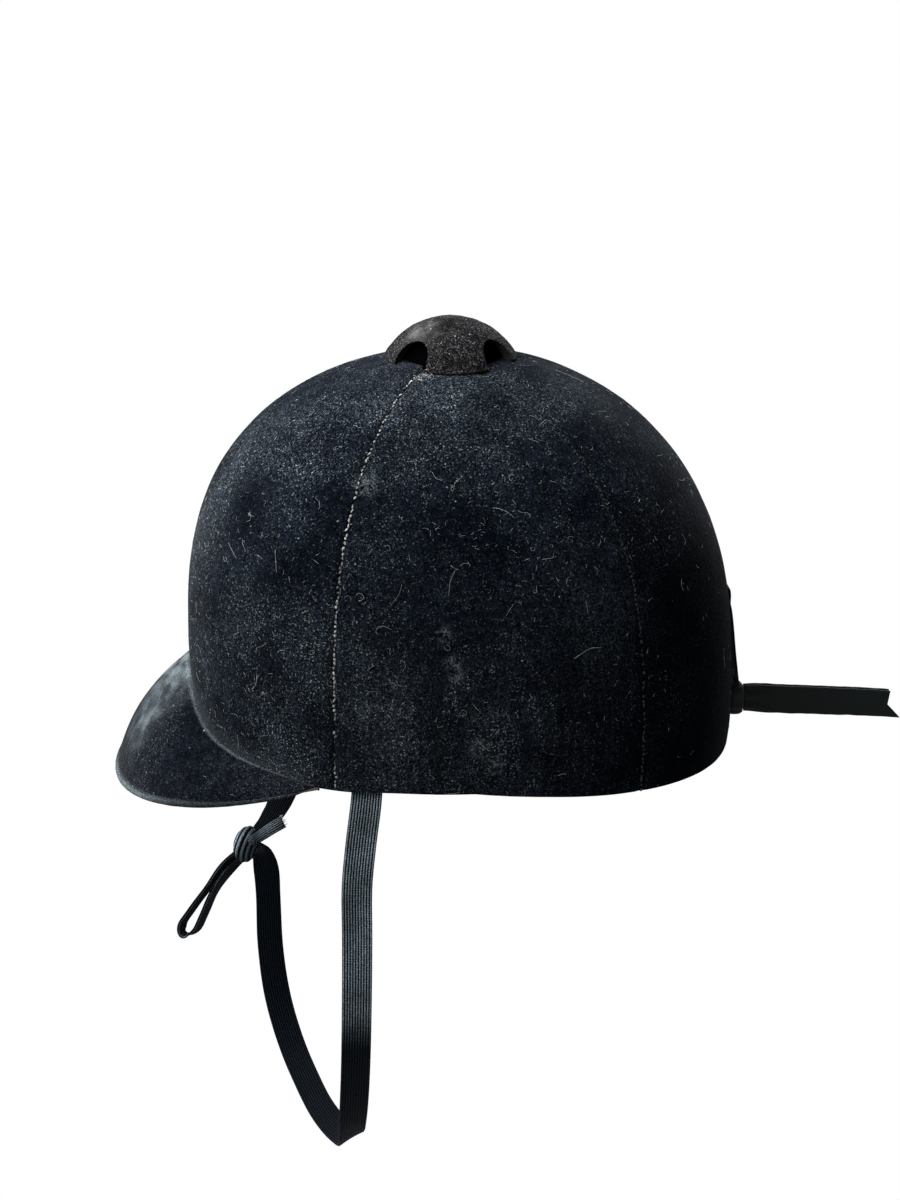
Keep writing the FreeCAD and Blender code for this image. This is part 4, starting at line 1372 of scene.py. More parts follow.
    def rim_binding(self) -> None:
        """Make the velvet that turns under the rim."""
        profile = ((0.0010, 0.0013), (0.0006, 0.0009), (0.0006, 0.00045), (0.0011, 0.0001), (0.0020, 0.0),
                   (0.0055, 0.00005), (0.0095, 0.0), (0.0135, 0.00005), (0.0151, 0.0001), (0.0158, 0.0004),
                   (0.0160, 0.0008), (0.0157, 0.0012), (0.0135, 0.0012), (0.0080, 0.0012), (0.0040, 0.0012))
        count = len(profile)

        def place(across: float, up: float) -> Vector:
            """Return the point at a share across and up."""
            turn = -90.0 - 360.0 * across
            depth, height = profile[round(up * count) % count]
            spot = FORM.point(turn, FORM.rim(turn, depth) + height, depth)
            if 3 <= round(up * count) % count <= 8:
                spot.z += 0.00012 * (1.0 + noise.noise(spot * 160.0))
            if height < self.droop_above and depth < 0.012:
                spot.z -= self.droop(spot)
            return spot

        piece = finish_mesh("rim_velvet", face_outwards(lay_grid(300, count, place, weld=1e-6)))
        self.shop.dress(piece, self.shop.finishes.velvet, "velvet", ["rim_binding"])


@dataclass
class Lint:
    """Curled fibres and a few hairs that cling to the velvet."""

    shop: Shop
    curls: int = 1500
    hairs: int = 30
    radius: float = 0.000042
    sides: int = 3
    tangle: Triple = (0.0282, -0.0138, 0.1535)
    tangle_spread: Triple = (0.0010, 0.0018, 0.0008)
    tangle_fibres: int = 16
    step: float = 0.00042

    def build(self) -> None:
        """Scatter the fibres over the velvet."""
        verts: list[Vector] = []
        faces: list[tuple[int, ...]] = []
        for piece in self.velvets():
            first = len(verts)
            verts += [vert.co.copy() for vert in piece.data.vertices]
            faces += [tuple(first + i for i in face.vertices) for face in piece.data.polygons]
        ground = BVHTree.FromPolygons(verts, faces)
        rng = random.Random(5)
        strands = Grains()
        made = tries = 0
        while made < self.curls and tries < 20000:
            tries += 1
            start = self.landing(ground, rng)
            if start is None or rng.random() > self.dustiness(start):
                continue
            made += 1
            length = rng.uniform(0.0010, 0.0030) * (2.6 if rng.random() < 0.13 else 1.0)
            self.fibre(strands, ground, rng, start, length, rng.uniform(250.0, 1100.0), self.radius)
        for _ in range(self.hairs):
            start = self.landing(ground, rng)
            if start is not None:
                self.fibre(strands, ground, rng, start, rng.uniform(0.005, 0.014), 90.0, self.radius * 1.3)
        for _ in range(self.tangle_fibres):
            start = Vector(self.tangle) + Vector([rng.gauss(0.0, spread) for spread in self.tangle_spread])
            near, _, _, _ = ground.find_nearest(start)
            self.fibre(strands, ground, rng, near, rng.uniform(0.003, 0.006), 700.0, self.radius * 1.4)
        piece = strands.made("velvet_lint")
        self.shop.dress(piece, self.shop.finishes.lint, "thread")

    @staticmethod
    def velvets() -> list[Piece]:
        """Return the velvet pieces that lint clings to."""
        panels = [f"velvet_panel_{quarter.value}" for quarter in Quarter]
        return [bpy.data.objects[name] for name in (*panels, "peak_velvet_top", "button_velvet")]

    @staticmethod
    def dustiness(place: Vector) -> float:
        """Return how likely lint is to stay at a place, from 0 to 1."""
        gathered = smooth((noise.noise(place * 24.0) + 0.35) / 0.7)
        rear = smooth((place.y - 0.02) / 0.09)
        return (0.15 + 0.85 * gathered) * (1.0 - 0.7 * rear)

    @staticmethod
    def landing(ground: BVHTree, rng: random.Random) -> Vector | None:
        """Drop a fibre on the velvet from a random side.

        Args:
            ground: The velvet.
            rng: Source of chance.

        Returns:
            Where it lands, or None where it misses.
        """
        way = Vector((rng.gauss(0.0, 1.0), rng.gauss(0.0, 1.0), abs(rng.gauss(0.0, 1.0)) - 0.35)).normalized()
        aim = Vector((0.0, rng.uniform(-0.06, 0.04), rng.uniform(0.01, 0.09)))
        place, _, _, _ = ground.ray_cast(aim + way * 0.4, -way)
        return place

    def fibre(self, strands: Grains, ground: BVHTree, rng: random.Random, start: Vector,
              length: float, curl: float, radius: float) -> None:
        """Lay one fibre along the velvet.

        Args:
            strands: What it is added to.
            ground: The velvet.
            rng: Source of chance.
            start: Where it starts.
            length: Its length in metres.
            curl: How tightly it may curl, in turns per metre.
            radius: Its radius in metres.
        """
        count = max(4, round(length / self.step))
        _, out, _, _ = ground.find_nearest(start)
        along = out.orthogonal().normalized()
        along.rotate(Quaternion(out, rng.uniform(0.0, 2 * math.pi)))
        bend = rng.uniform(-1.0, 1.0) * curl
        spot, line = start, []
        for _ in range(count):
            near, out, _, _ = ground.find_nearest(spot)
            if near is None:
                return
            lift = radius * (1.2 + 2.5 * rng.random())
            line.append((near + out * lift, out))
            bend += rng.uniform(-1.0, 1.0) * curl * 0.55
            bend = max(-1.6 * curl, min(1.6 * curl, bend))
            along = (along - out * along.dot(out)).normalized()
            along.rotate(Quaternion(out, bend * self.step))
            spot = near + along * self.step
        strands.string(line, radius, self.sides)


# ---- peak


@dataclass(frozen=True)
class PeakForm:
    """The curved form of the peak."""

    half_span: float = 58.5
    reach: float = 0.0332
    edge_level: float = -0.0004
    edge_slope: float = 0.235
    edge_start: float = 0.067
    edge_soft: float = 0.006
    bulge: float = 0.005
    bulge_side: float = 0.0015
    taper_share: float = 0.62
    piping: float = 0.0012
    gap: float = 0.0003
    tuck_in: float = 0.95
    draw_start: float = 55.0
    draw_length: float = 4.6
    draw_in: float = 0.0012
    draw_up: float = 0.0013

    def edge(self, span: float) -> Vector:
        """Return the outermost point of the piped edge, at degrees from the brow.

        Args:
            span: Degrees from the brow.

        Returns:
            The point.
        """
        foot = FORM.point(-90.0 + span, 0.005)
        radius = math.hypot(foot.x, foot.y)
        reach = self.reach * (1.0 - (span / FORM.peak_end) ** 2) ** 0.8
        x, y = foot.x * (1.0 + reach / radius), foot.y * (1.0 + reach / radius)
        ahead = -y - self.edge_start
        ahead = (math.hypot(ahead, self.edge_soft) + ahead) / 2
        return Vector((x, y, self.edge_level - self.edge_slope * ahead))

    def taper(self, span: float) -> float:
        """Return the share of its full thickness that the peak has, at degrees from the brow."""
        return 1.0 - self.taper_share * abs(span / self.half_span) ** 4

    def tucked(self, span: float) -> Vector:
        """Return how far the free edge is drawn up into the rim near the peak's ends.

        Args:
            span: Degrees from the brow.

        Returns:
            The step.
        """
        pull = smooth((abs(span) - self.draw_start) / self.draw_length)
        foot = FORM.point(-90.0 + span, 0.005)
        inwards = Vector((-foot.x, -foot.y, 0.0)).normalized()
        return (inwards * self.draw_in + Vector((0, 0, self.draw_up))) * pull

    def point(self, span: float, share: float, depth: float) -> Vector:
        """Find a point of the peak.

        Args:
            span: Degrees from the brow.
            share: 0 at the root and 1 at the free edge.
            depth: Depth below the top of the peak in metres.

        Returns:
            The point.
        """
        taper = self.taper(span)
        down = depth * taper
        root = FORM.point(-90.0 + span, FORM.crease(span) - down, -self.gap)
        edge = self.edge(span)
        out = Vector((edge.x - root.x, edge.y - root.y, 0.0)).normalized()
        cord = (2 * self.piping + self.gap) * taper
        tuck_in = mix(self.tuck_in, 0.95, smooth((abs(span) - 40.0) / 16.0))
        lift = (self.piping - down * 0.85) * taper
        edge = edge - out * (cord * tuck_in + down * 0.5) + Vector((0, 0, lift))
        chord = edge - root
        normal = (out * -chord.z + Vector((0, 0, 1)) * chord.dot(out)).normalized()
        bulge = self.bulge_side + (self.bulge - self.bulge_side) * math.exp(-((span / 25.0) ** 2))
        held = max(0.0, min(1.0, share))
        spot = root + chord * share + normal * (bulge * taper * 4 * held * (1.0 - held))
        return spot + self.tucked(span) * held


@dataclass
class Peak:
    """Velvet top, cloth underside and corded edge of the peak."""

    shop: Shop
    form: PeakForm = PeakForm()
    over_cord: PeakForm = PeakForm(tuck_in=0.42)
    span_end: float = 58.4
    cord_end: float = 57.8
    columns: int = 156

    def build(self) -> None:
        """Make the pieces of the peak."""
        self.top_cover()
        self.underside()
        self.corded_edge()
        self.shop.refinish(self.shop.finishes.board, "peak_board")

    def top_cover(self) -> None:
        """Make the velvet top, rolled over the edge of the board."""
        shares = [i / 44 * 0.972 for i in range(45)]
        rows = [(share, 0.0) for share in shares]
        rows[0] = (-0.02, 0.0004)
        rows += [(0.985, 0.00003), (0.994, 0.00018), (1.0, 0.0005),
                 (1.002, 0.001), (1.0, 0.0016), (0.996, 0.0022)]
        last = len(rows) - 1

        def place(across: float, up: float) -> Vector:
            """Return the point at a share across and up."""
            span = self.span_end * (1.0 - 2.0 * across)
            share, depth = rows[round(up * last)]
            spot = self.over_cord.point(span, share, depth)
            ridge = 0.00045 * math.exp(-((share / 0.028) ** 2)) * self.form.taper(span)
            spot.z += ridge + 0.0002 * noise.noise(spot * 60.0)
            return spot

        def lightening(across: float, up: float) -> float:
            """Return how much the nap is lightened: a painted highlight along the crease, and dust with a
            painted highlight on the rolled lip.
            """
            share, _ = rows[round(up * last)]
            span = self.span_end * (1.0 - 2.0 * across)
            crease = 0.9 * math.exp(-(((share - 0.004) / 0.020) ** 2)) * smooth((span + 40.0) / 50.0)
            lip = smooth((share - 0.965) / 0.03) * smooth((34.0 - abs(span - 14.0)) / 20.0)
            return min(1.0, crease + 0.30 * lip)

        piece = finish_mesh("peak_velvet_top", lay_grid(self.columns, last, place, mark=lightening))
        self.shop.dress(piece, self.shop.finishes.peak_velvet, "velvet", ["peak_top_cover"])
        add_thickness(piece, 0.0007)

    def underside(self) -> None:
        """Make the cloth underside, drawn up round the edge of the board."""
        rows = [(-0.02, 0.0046)] + [(0.04 + i / 24 * 0.92, 0.0050) for i in range(25)]
        rows += [(0.985, 0.00495), (0.997, 0.0047), (1.0, 0.0042)]
        last = len(rows) - 1

        def place(across: float, up: float) -> Vector:
            """Return the point at a share across and up."""
            span = self.span_end * (2.0 * across - 1.0)
            share, depth = rows[round(up * last)]
            return self.form.point(span, share, depth)

        piece = finish_mesh("peak_cloth_underside", lay_grid(self.columns, last, place))
        self.shop.dress(piece, self.shop.finishes.underlining, "satin", ["peak_underlining"])
        add_thickness(piece, 0.0006)

    def corded_edge(self) -> None:
        """Make the velvet covered cord along the edge."""
        def place(across: float, up: float) -> Vector:
            """Return the point at a share across and up."""
            span = self.cord_end * (2.0 * up - 1.0)
            edge = self.form.edge(span)
            out = Vector((edge.x, edge.y, 0.0)).normalized()
            size = self.form.piping * self.form.taper(span)
            centre = edge - out * size + self.form.tucked(span)
            after, before = self.form.edge(min(span + 0.4, 59.8)), self.form.edge(max(span - 0.4, -59.8))
            along = (after - before).normalized()
            side = (out - along * out.dot(along)).normalized()
            over = along.cross(side)
            size *= 1.0 + 0.10 * noise.noise(centre * 260.0) - 0.04
            size *= 1.0 - smooth((abs(up - 0.5) - 0.47) / 0.03)
            return centre + around(across * 2 * math.pi, side, over, size)

        def lightening(across: float, up: float) -> float:
            """Return how much the nap is lightened at a share across and up."""
            return 0.08 + 0.45 * smooth((up - 0.42) / 0.14) * smooth((0.80 - up) / 0.14)

        mesh = lay_grid(14, 260, place, weld=1e-7, mark=lightening)
        close_ends(mesh)
        piece = finish_mesh("peak_corded_edge", face_outwards(mesh))
        self.shop.dress(piece, self.shop.finishes.piping_velvet, "velvet", ["peak_piping"])


# ---- crown button


@dataclass
class CrownButton:
    """Velvet covered button with four arched air openings, and what holds it."""

    shop: Shop
    voxel: float = 0.00042
    pad_voxel: float = 0.0007
    boss: float = 0.0053

    def build(self) -> None:
        """Make the button's velvet and finish its fittings."""
        piece = self.rounded("button_velvet", "vent_button_cover", self.voxel, 0.6, 5)
        moved = []
        for vert in piece.data.vertices:
            swell = 0.00020 * noise.noise(vert.co * 260.0) + 0.00012 * noise.noise(vert.co * 700.0)
            moved.extend(vert.co + vert.normal * swell)
        piece.data.vertices.foreach_set("co", moved)
        self.shop.dress(piece, self.shop.finishes.button_velvet, "velvet_button", ["vent_button_cover"])
        self.shop.refinish(self.shop.finishes.black_core, "vent_button")
        self.gauze()
        self.shop.refinish(self.shop.finishes.brass, "button_insert")
        self.shop.refinish(self.shop.finishes.steel, "button_screw", "button_washer", "vent_bridge")
        pad = self.rounded("crown_cushion", "crown_pad", self.pad_voxel, 0.5, 6)
        self.shop.dress(pad, self.shop.finishes.felt, "pad", ["crown_pad"])

    def rounded(self, name: str, node: str, voxel: float, factor: float, rounds: int) -> Piece:
        """Copy a node with its edges rounded and its surface even.

        Args:
            name: Name of the new piece.
            node: The node.
            voxel: Size of its new faces in metres.
            factor: How far each round of smoothing goes.
            rounds: Rounds of smoothing.

        Returns:
            The new piece.
        """
        piece = self.shop.copy_of(name, node)
        remesh = piece.modifiers.new("Remesh", "REMESH")
        remesh.mode = "VOXEL"
        remesh.voxel_size = voxel
        soften = piece.modifiers.new("Soften", "SMOOTH")
        soften.factor = factor
        soften.iterations = rounds
        graph = bpy.context.evaluated_depsgraph_get()
        data = bpy.data.meshes.new_from_object(piece.evaluated_get(graph))
        piece.modifiers.clear()
        piece.data = data
        data.polygons.foreach_set("use_smooth", [True] * len(data.polygons))
        return piece

    def gauze(self) -> None:
        """Make the black gauze that closes the button's openings from inside."""
        low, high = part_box("vent_gauze")
        radius, top = high.x, high.z
        height = top - FORM.level_of(0.0288, 0.0)
        ball = (radius**2 + height**2) / (2 * height)

        def place(across: float, up: float) -> Vector:
            """Return the point at a share across and up."""
            turn = across * 2 * math.pi
            ring = mix(radius - 0.0001, self.boss, up)
            level = top - ball + math.sqrt(ball**2 - ring**2)
            spot = Vector((ring * math.cos(turn), ring * math.sin(turn), level))
            spot.z = max(spot.z, low.z) - 0.0001 * (1.0 + noise.noise(spot * 200.0))
            return spot

        piece = finish_mesh("vent_gauze_dome", lay_grid(96, 30, place, weld=1e-6))
        self.shop.dress(piece, self.shop.finishes.gauze, "gauze", ["vent_gauze"])
        add_thickness(piece, 0.0003)


# ---- inside


@dataclass
class Inside:
    """Satin lining, leather sweatband and the hidden layers of the wall."""

    shop: Shop
    gores: int = 6
    lining_depth: float = 0.0114
    band_depth: float = 0.0144
    band_thickness: float = 0.0018
    band_top: float = 0.046
    foot: float = 0.0015
    hole: float = 0.013
    stitches: int = 150

    def build(self) -> None:
        """Make the lining and the sweatband, and finish the hidden layers."""
        finishes = self.shop.finishes
        self.lining()
        self.sweatband()
        self.shop.refinish(finishes.shell, "outer_shell")
        self.shop.refinish(finishes.foam, "shock_liner")
        self.shop.refinish(finishes.felt, "brow_pad", "nape_pad")
        self.shop.refinish(finishes.steel, "strap_rivet_left", "strap_rivet_right",
                           "strap_washer_left", "strap_washer_right")

    def lining(self) -> None:
        """Make the satin lining, sewn from gores."""
        top = FORM.level_of(self.hole, self.lining_depth)

        def place(across: float, up: float) -> Vector:
            """Return the point at a share across and up."""
            turn = -90.0 - 360.0 * across
            foot = FORM.rim(turn, self.lining_depth) + self.foot
            level = mix(foot, top, math.sin(up * math.pi / 2) ** 0.95)
            spot = FORM.point(turn, level, self.lining_depth)
            gore = abs(math.sin(across * self.gores * math.pi))
            lift = 0.0009 * (gore**0.5 - 0.35) * math.sin(up * math.pi)
            lift += 0.0003 * noise.noise(Vector((spot.x * 60, spot.y * 60, spot.z * 25)))
            return spot - FORM.outward(turn, level, self.lining_depth) * max(-0.0002, lift)

        piece = finish_mesh("satin_lining", lay_grid(216, 70, place, weld=1e-6))
        self.shop.dress(piece, self.shop.finishes.satin, "satin", ["crown_lining"])
        add_thickness(piece, 0.0006)

    def sweatband(self) -> None:
        """Make the leather sweatband with its rolled top and a row of stitches."""
        depth, thick = self.band_depth, self.band_thickness
        outer = [(0.00025, i / 8) for i in range(9)]
        roll = [(0.0004, 1.012), (0.0009, 1.02), (0.0014, 1.012)]
        inner = [(thick - 0.00025 + 0.0002 * math.sin(i / 12 * math.pi), 1.0 - i / 12) for i in range(13)]
        profile = outer + roll + inner
        count = len(profile)

        def place(across: float, up: float) -> Vector:
            """Return the point at a share across and up."""
            turn = -90.0 - 360.0 * across
            inset, share = profile[round(up * count) % count]
            foot = FORM.rim(turn, depth + inset) + self.foot
            level = mix(foot, self.band_top - 0.0009, share)
            spot = FORM.point(turn, level, depth + inset)
            return spot + Vector((0, 0, 0.0002 * noise.noise(spot * 50.0)))

        piece = finish_mesh("leather_sweatband", face_outwards(lay_grid(240, count, place, weld=1e-6)))
        self.shop.dress(piece, self.shop.finishes.leather, "leather", ["sweatband"])
        self.band_stitches()

    def band_stitches(self) -> None:
        """Sew the sweatband with one row near its foot and one near its top."""
        seeds = Grains()
        depth = self.band_depth + self.band_thickness + 0.00002
        for level_share in (0.07, 0.93):
            for i in range(self.stitches):
                turn = -90.0 + 360.0 * i / self.stitches
                foot = FORM.rim(turn, depth) + self.foot
                level = mix(foot, self.band_top, level_share)
                spot = FORM.point(turn, level, depth)
                along = (FORM.point(turn + 0.5, level, depth) - spot).normalized()
                out = FORM.outward(turn, level, depth)
                over = out.cross(along)
                seeds.add(spot, along * 0.00105, over * 0.0003, out * 0.0003)
        piece = seeds.made("sweatband_stitches")
        self.shop.dress(piece, self.shop.finishes.waxed_thread, "thread")


# ---- bands


@dataclass(frozen=True)
class Station:
    """A place that a flat band passes through, in millimetres, with the way its width lies."""

    place: Triple
    across: Triple
    width: float = 12.7


@dataclass
class BandPath:
    """A smooth path of a flat band through its stations."""

    stations: Sequence[Station]
    step: float = 0.0015
    places: list[Vector] = field(default_factory=list)
    acrosses: list[Vector] = field(default_factory=list)
    widths: list[float] = field(default_factory=list)

    def __post_init__(self) -> None:
        """Run a smooth curve through the stations and mark it off in even steps."""
        knots = [Vector(s.place) * MM for s in self.stations]
        rough: list[tuple[Vector, Vector, float]] = []
        for i in range(len(knots) - 1):
            span = (knots[i + 1] - knots[i]).length
            leave, arrive = self.slope(knots, i) * span, self.slope(knots, i + 1) * span
            one, two = self.stations[i], self.stations[i + 1]
            for k in range(24):
                t = k / 24
                spot = (knots[i] * (2 * t**3 - 3 * t**2 + 1) + leave * (t**3 - 2 * t**2 + t)
                        + knots[i + 1] * (3 * t**2 - 2 * t**3) + arrive * (t**3 - t**2))
                across = Vector(one.across).normalized().lerp(Vector(two.across).normalized(), smooth(t))
                rough.append((spot, across, mix(one.width, two.width, smooth(t)) * MM))
        end = self.stations[-1]
        rough.append((knots[-1], Vector(end.across).normalized(), end.width * MM))
        self.mark_off(rough)

    @staticmethod
    def slope(knots: Sequence[Vector], i: int) -> Vector:
        """Return the direction of the curve at a knot, for a path measured by its chords.

        Args:
            knots: The places that the path passes.
            i: Number of the knot.

        Returns:
            The direction.
        """
        if i == 0:
            return (knots[1] - knots[0]).normalized()
        if i == len(knots) - 1:
            return (knots[-1] - knots[-2]).normalized()
        before, after = knots[i] - knots[i - 1], knots[i + 1] - knots[i]
        a, b = before.length, after.length
        return (before / a * b + after / b * a) / (a + b)

    def mark_off(self, rough: Sequence[tuple[Vector, Vector, float]]) -> None:
        """Mark the curve off in even steps and ease its bends.

        Args:
            rough: Places, directions across and widths along the curve.
        """
        lengths = [0.0]
        for (a, _, _), (b, _, _) in zip(rough, rough[1:]):
            lengths.append(lengths[-1] + (b - a).length)
        count = max(6, round(lengths[-1] / self.step))
        at = 0
        for k in range(count + 1):
            goal = lengths[-1] * k / count
            while at < len(rough) - 2 and lengths[at + 1] < goal:
                at += 1
            share = (goal - lengths[at]) / max(1e-9, lengths[at + 1] - lengths[at])
            self.places.append(rough[at][0].lerp(rough[at + 1][0], share))
            self.acrosses.append(rough[at][1].lerp(rough[at + 1][1], share))
            self.widths.append(mix(rough[at][2], rough[at + 1][2], share))
        for _ in range(8):
            self.places = self.eased(self.places)
            self.acrosses = self.eased(self.acrosses)

    @staticmethod
    def eased(values: list[Vector]) -> list[Vector]:
        """Return the values with each one drawn halfway to the middle of its neighbours."""
        inner = [(a + b * 2 + c) / 4 for a, b, c in zip(values, values[1:], values[2:])]
        return [values[0], *inner, values[-1]]

    def frame(self, row: int) -> tuple[Vector, Vector, Vector]:
        """Return the place, the way across and the way out of the band's face at a row.

        Args:
            row: Number of the row.

        Returns:
            The place and both ways.
        """
        last = len(self.places) - 1
        along = (self.places[min(row + 1, last)] - self.places[max(row - 1, 0)]).normalized()
        face = along.cross(self.acrosses[row]).normalized()
        return self.places[row], face.cross(along).normalized(), face


@dataclass
class Band:
    """A flat band with lengthwise ribs, rounded at its edges."""

    path: BandPath
    thickness: float = 0.0014
    ribs: int = 11
    relief: float = 0.00017
    per_rib: int = 4
    curl: float = 0.0

    def mesh(self) -> Mesh:
        """Make the band's mesh, with its crests marked.

        Returns:
            The closed mesh.
        """
        face = self.ribs * self.per_rib
        ring = 2 * face + 2
        last = len(self.path.places) - 1

        def section(across: float) -> tuple[float, float, float]:
            """Return the offset, height and crest at a share round the section."""
            index = round(across * ring) % ring
            top = index <= face
            share = (index if top else ring - 1 - index) / face
            crest = abs(math.sin(share * self.ribs * math.pi)) ** 0.75
            edge = min(share, 1.0 - share) * self.ribs
            half = self.thickness / 2 - self.relief * (1.0 - crest)
            half *= 0.55 + 0.45 * smooth(edge / 0.5)
            return share - 0.5, half if top else -half, crest

        def place(across: float, up: float) -> Vector:
            """Return the point at a share across and up."""
            row = round(up * last)
            centre, over, out = self.path.frame(row)
            offset, height, _ = section(across)
            width = self.path.widths[row] - self.thickness * 0.2
            bow = self.curl * (4 * offset * offset - 0.5)
            return centre + over * (offset * width) + out * (height + bow)

        made = lay_grid(ring, last, place, weld=1e-7, mark=lambda across, _: section(across)[2])
        close_ends(made)
        return face_outwards(made)


# ---- chin strap


@dataclass
class ChinStrap:
    """Elastic that leaves the wall at both sides, knotted at the wearer's right."""

    shop: Shop
    hinge_level: float = -8.0
    anchor_y: float = -42.0
    anchor_depth: float = 5.0
    loop_x: float = -80.0
    knot: Triple = (-80.0, -88.6, -94.8)
    knot_half: Triple = (5.6, 6.3, 9.5)
    loop_across: Triple = (0.830, -0.450, 0.285)
    loop_root_across: Triple = (0.700, -0.590, 0.400)

    def build(self) -> None:
        """Make the runs, the knot, its loop and its cut end."""
        self.near_run()
        self.leader()
        self.knot_body()
        self.loop()
        self.cut_end()

    def inside_wall(self, side: Side) -> list[Station]:
        """Return the stations of the elastic inside the wall, from its rivet down to the rim.

        Args:
            side: Which side of the cap.

        Returns:
            Three stations.
        """
        found = []
        for level in (28.0, 14.0, 0.0):
            depth = self.anchor_depth * MM
            turn = FORM.turn_at(lambda p: p.y - self.anchor_y * MM, -80.0, 0.0, level * MM, depth)
            spot = FORM.point(turn, level * MM, depth)
            ahead = FORM.point(turn + 1.0, level * MM, depth) - spot
            across = ahead.normalized()
            found.append(Station((side.value * spot.x / MM, spot.y / MM, level),
                                 (side.value * across.x, across.y, 0.0)))
        return found

    def near_run(self) -> None:
        """Make the elastic from the wearer's left, under the chin and up to the knot."""
        route = (
            ((82.0, -44.7, -24.5), (0.05, 1.0, -0.03)), ((81.0, -46.4, -42.0), (0.03, 1.0, -0.03)),
            ((79.0, -46.6, -68.0), (0.0, 1.0, 0.0)), ((75.5, -46.8, -94.3), (0.0, 1.0, 0.0)),
            ((64.0, -47.2, -138.1), (0.0, 1.0, 0.05)), ((41.0, -47.6, -177.5), (0.0, 0.95, 0.30)),
            ((20.0, -47.6, -195.6), (0.0, 0.84, 0.55)), ((6.0, -49.8, -201.4), (0.0, 0.82, 0.57)),
            ((-8.0, -53.6, -204.6), (0.0, 0.82, 0.57)), ((-24.0, -59.0, -203.8), (0.0, 0.84, 0.55)),
            ((-40.0, -64.3, -198.5), (0.0, 0.88, 0.47)), ((-53.0, -69.2, -190.8), (0.0, 0.92, 0.38)),
            ((-69.0, -76.2, -169.0), (0.0, 0.98, 0.19)), ((-76.0, -78.9, -145.0), (0.08, 0.99, 0.02), 12.4),
            ((-79.3, -79.2, -121.2), (0.15, 0.98, -0.03), 12.0),
            ((-80.0, -79.8, -107.9), (0.3, 0.95, 0.04), 12.8),
            ((-80.0, -81.6, -98.8), (0.4, 0.90, 0.05), 11.4), ((-80.0, -85.6, -94.6), (0.5, 0.8, 0.3), 7.5))
        stations = self.inside_wall(Side.LEFT) + [Station(*row) for row in route]
        piece = finish_mesh("chin_elastic_run", Band(BandPath(stations), curl=0.00025).mesh())
        self.dress_blended(piece, self.shop.finishes.elastic, ["chin_elastic", "strap_end_left"])

    def leader(self) -> None:
        """Make the elastic from the knot up into the wall at the wearer's right."""
        route = (
            ((-80.0, -86.8, -93.5), (0.6, 0.50, -0.60), 7.0),
            ((-80.0, -81.0, -87.0), (0.6, 0.55, -0.58), 9.0),
            ((-80.0, -76.0, -80.0), (0.62, 0.66, -0.42), 11.0), ((-80.5, -71.5, -71.0), (0.55, 0.77, -0.33)),
            ((-82.0, -61.0, -48.0), (0.20, 0.92, -0.32)), ((-82.8, -49.5, -24.0), (-0.12, 0.97, -0.22)))
        stations = [Station(*row) for row in route] + self.inside_wall(Side.RIGHT)[::-1]
        piece = finish_mesh("chin_elastic_leader", Band(BandPath(stations)).mesh())
        self.dress_blended(piece, self.shop.finishes.shaded_elastic, ["strap_leader", "strap_end_right"])

    def dress_blended(self, piece: Piece, material: Material, replaced: Sequence[str]) -> None:
        """Finish an elastic that runs between the cap and the swinging loop, kept on no body.

        Args:
            piece: The elastic.
            material: Its finish.
            replaced: Nodes of the frame that it stands for.
        """
        piece.data.materials.append(material)
        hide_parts(*replaced)
        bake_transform(piece)
        LOG.info("%s: %d faces", piece.name, len(piece.data.polygons))

    def knot_body(self) -> None:
        """Make the knot as a tight ribbed ball."""
        mesh = bmesh.new()
        kept = mesh.verts.layers.float.new("rib")
        mesh.loops.layers.uv.new("UVMap")
        pole = Vector((0.50, 0.85, -0.12)).normalized()
        lean = Matrix.Rotation(math.radians(-14.0), 3, "X")
        tilt = pole.to_track_quat("Z", "X").to_matrix()
        half = [h * MM * 0.97 for h in self.knot_half]
        bmesh.ops.create_uvsphere(mesh, u_segments=72, v_segments=112, radius=1.0, calc_uvs=True)
        for vert in mesh.verts:
            up = math.asin(max(-1.0, min(1.0, vert.co.z)))
            crest = abs(math.sin(up * 7.0 + 0.4)) ** 0.8
            spot = tilt @ vert.co
            wrap = 0.00055 * smooth((math.sin(up + 0.35) - 0.25) / 0.18)
            size = 1.02 + (crest - 0.6) * 0.055
            vert[kept] = crest
            body = Vector((spot.x * half[0], spot.y * half[1], spot.z * half[2])) * size
            body -= spot * wrap
            vert.co = lean @ body + Vector(self.knot) * MM
        piece = finish_mesh("elastic_knot", mesh)
        self.shop.dress(piece, self.shop.finishes.elastic, "elastic", ["strap_knot"], Body.STRAP)

    def loop(self) -> None:
        """Make the long loop that the knot leaves."""
        route = ((-91.0, -97.0), (-98.9, -104.7), (-107.6, -116.3), (-116.6, -128.6), (-120.9, -136.0),
                 (-119.6, -140.6), (-115.2, -139.4), (-110.4, -131.0), (-105.2, -119.2), (-97.6, -107.8),
                 (-90.0, -100.4))
        widths = (7.0, *([9.0] * (len(route) - 2)), 7.0)
        root, far = [self.loop_root_across] * 2, [self.loop_across] * (len(route) - 4)
        stations = [Station((self.loop_x, y, z), across, width)
                    for (y, z), across, width in zip(route, root + far + root, widths)]
        band = Band(BandPath(stations, step=0.0009), thickness=0.00119, ribs=8, relief=0.00014)
        piece = finish_mesh("elastic_knot_loop", band.mesh())
        self.shop.dress(piece, self.shop.finishes.elastic, "elastic", ["knot_loop"], Body.STRAP)

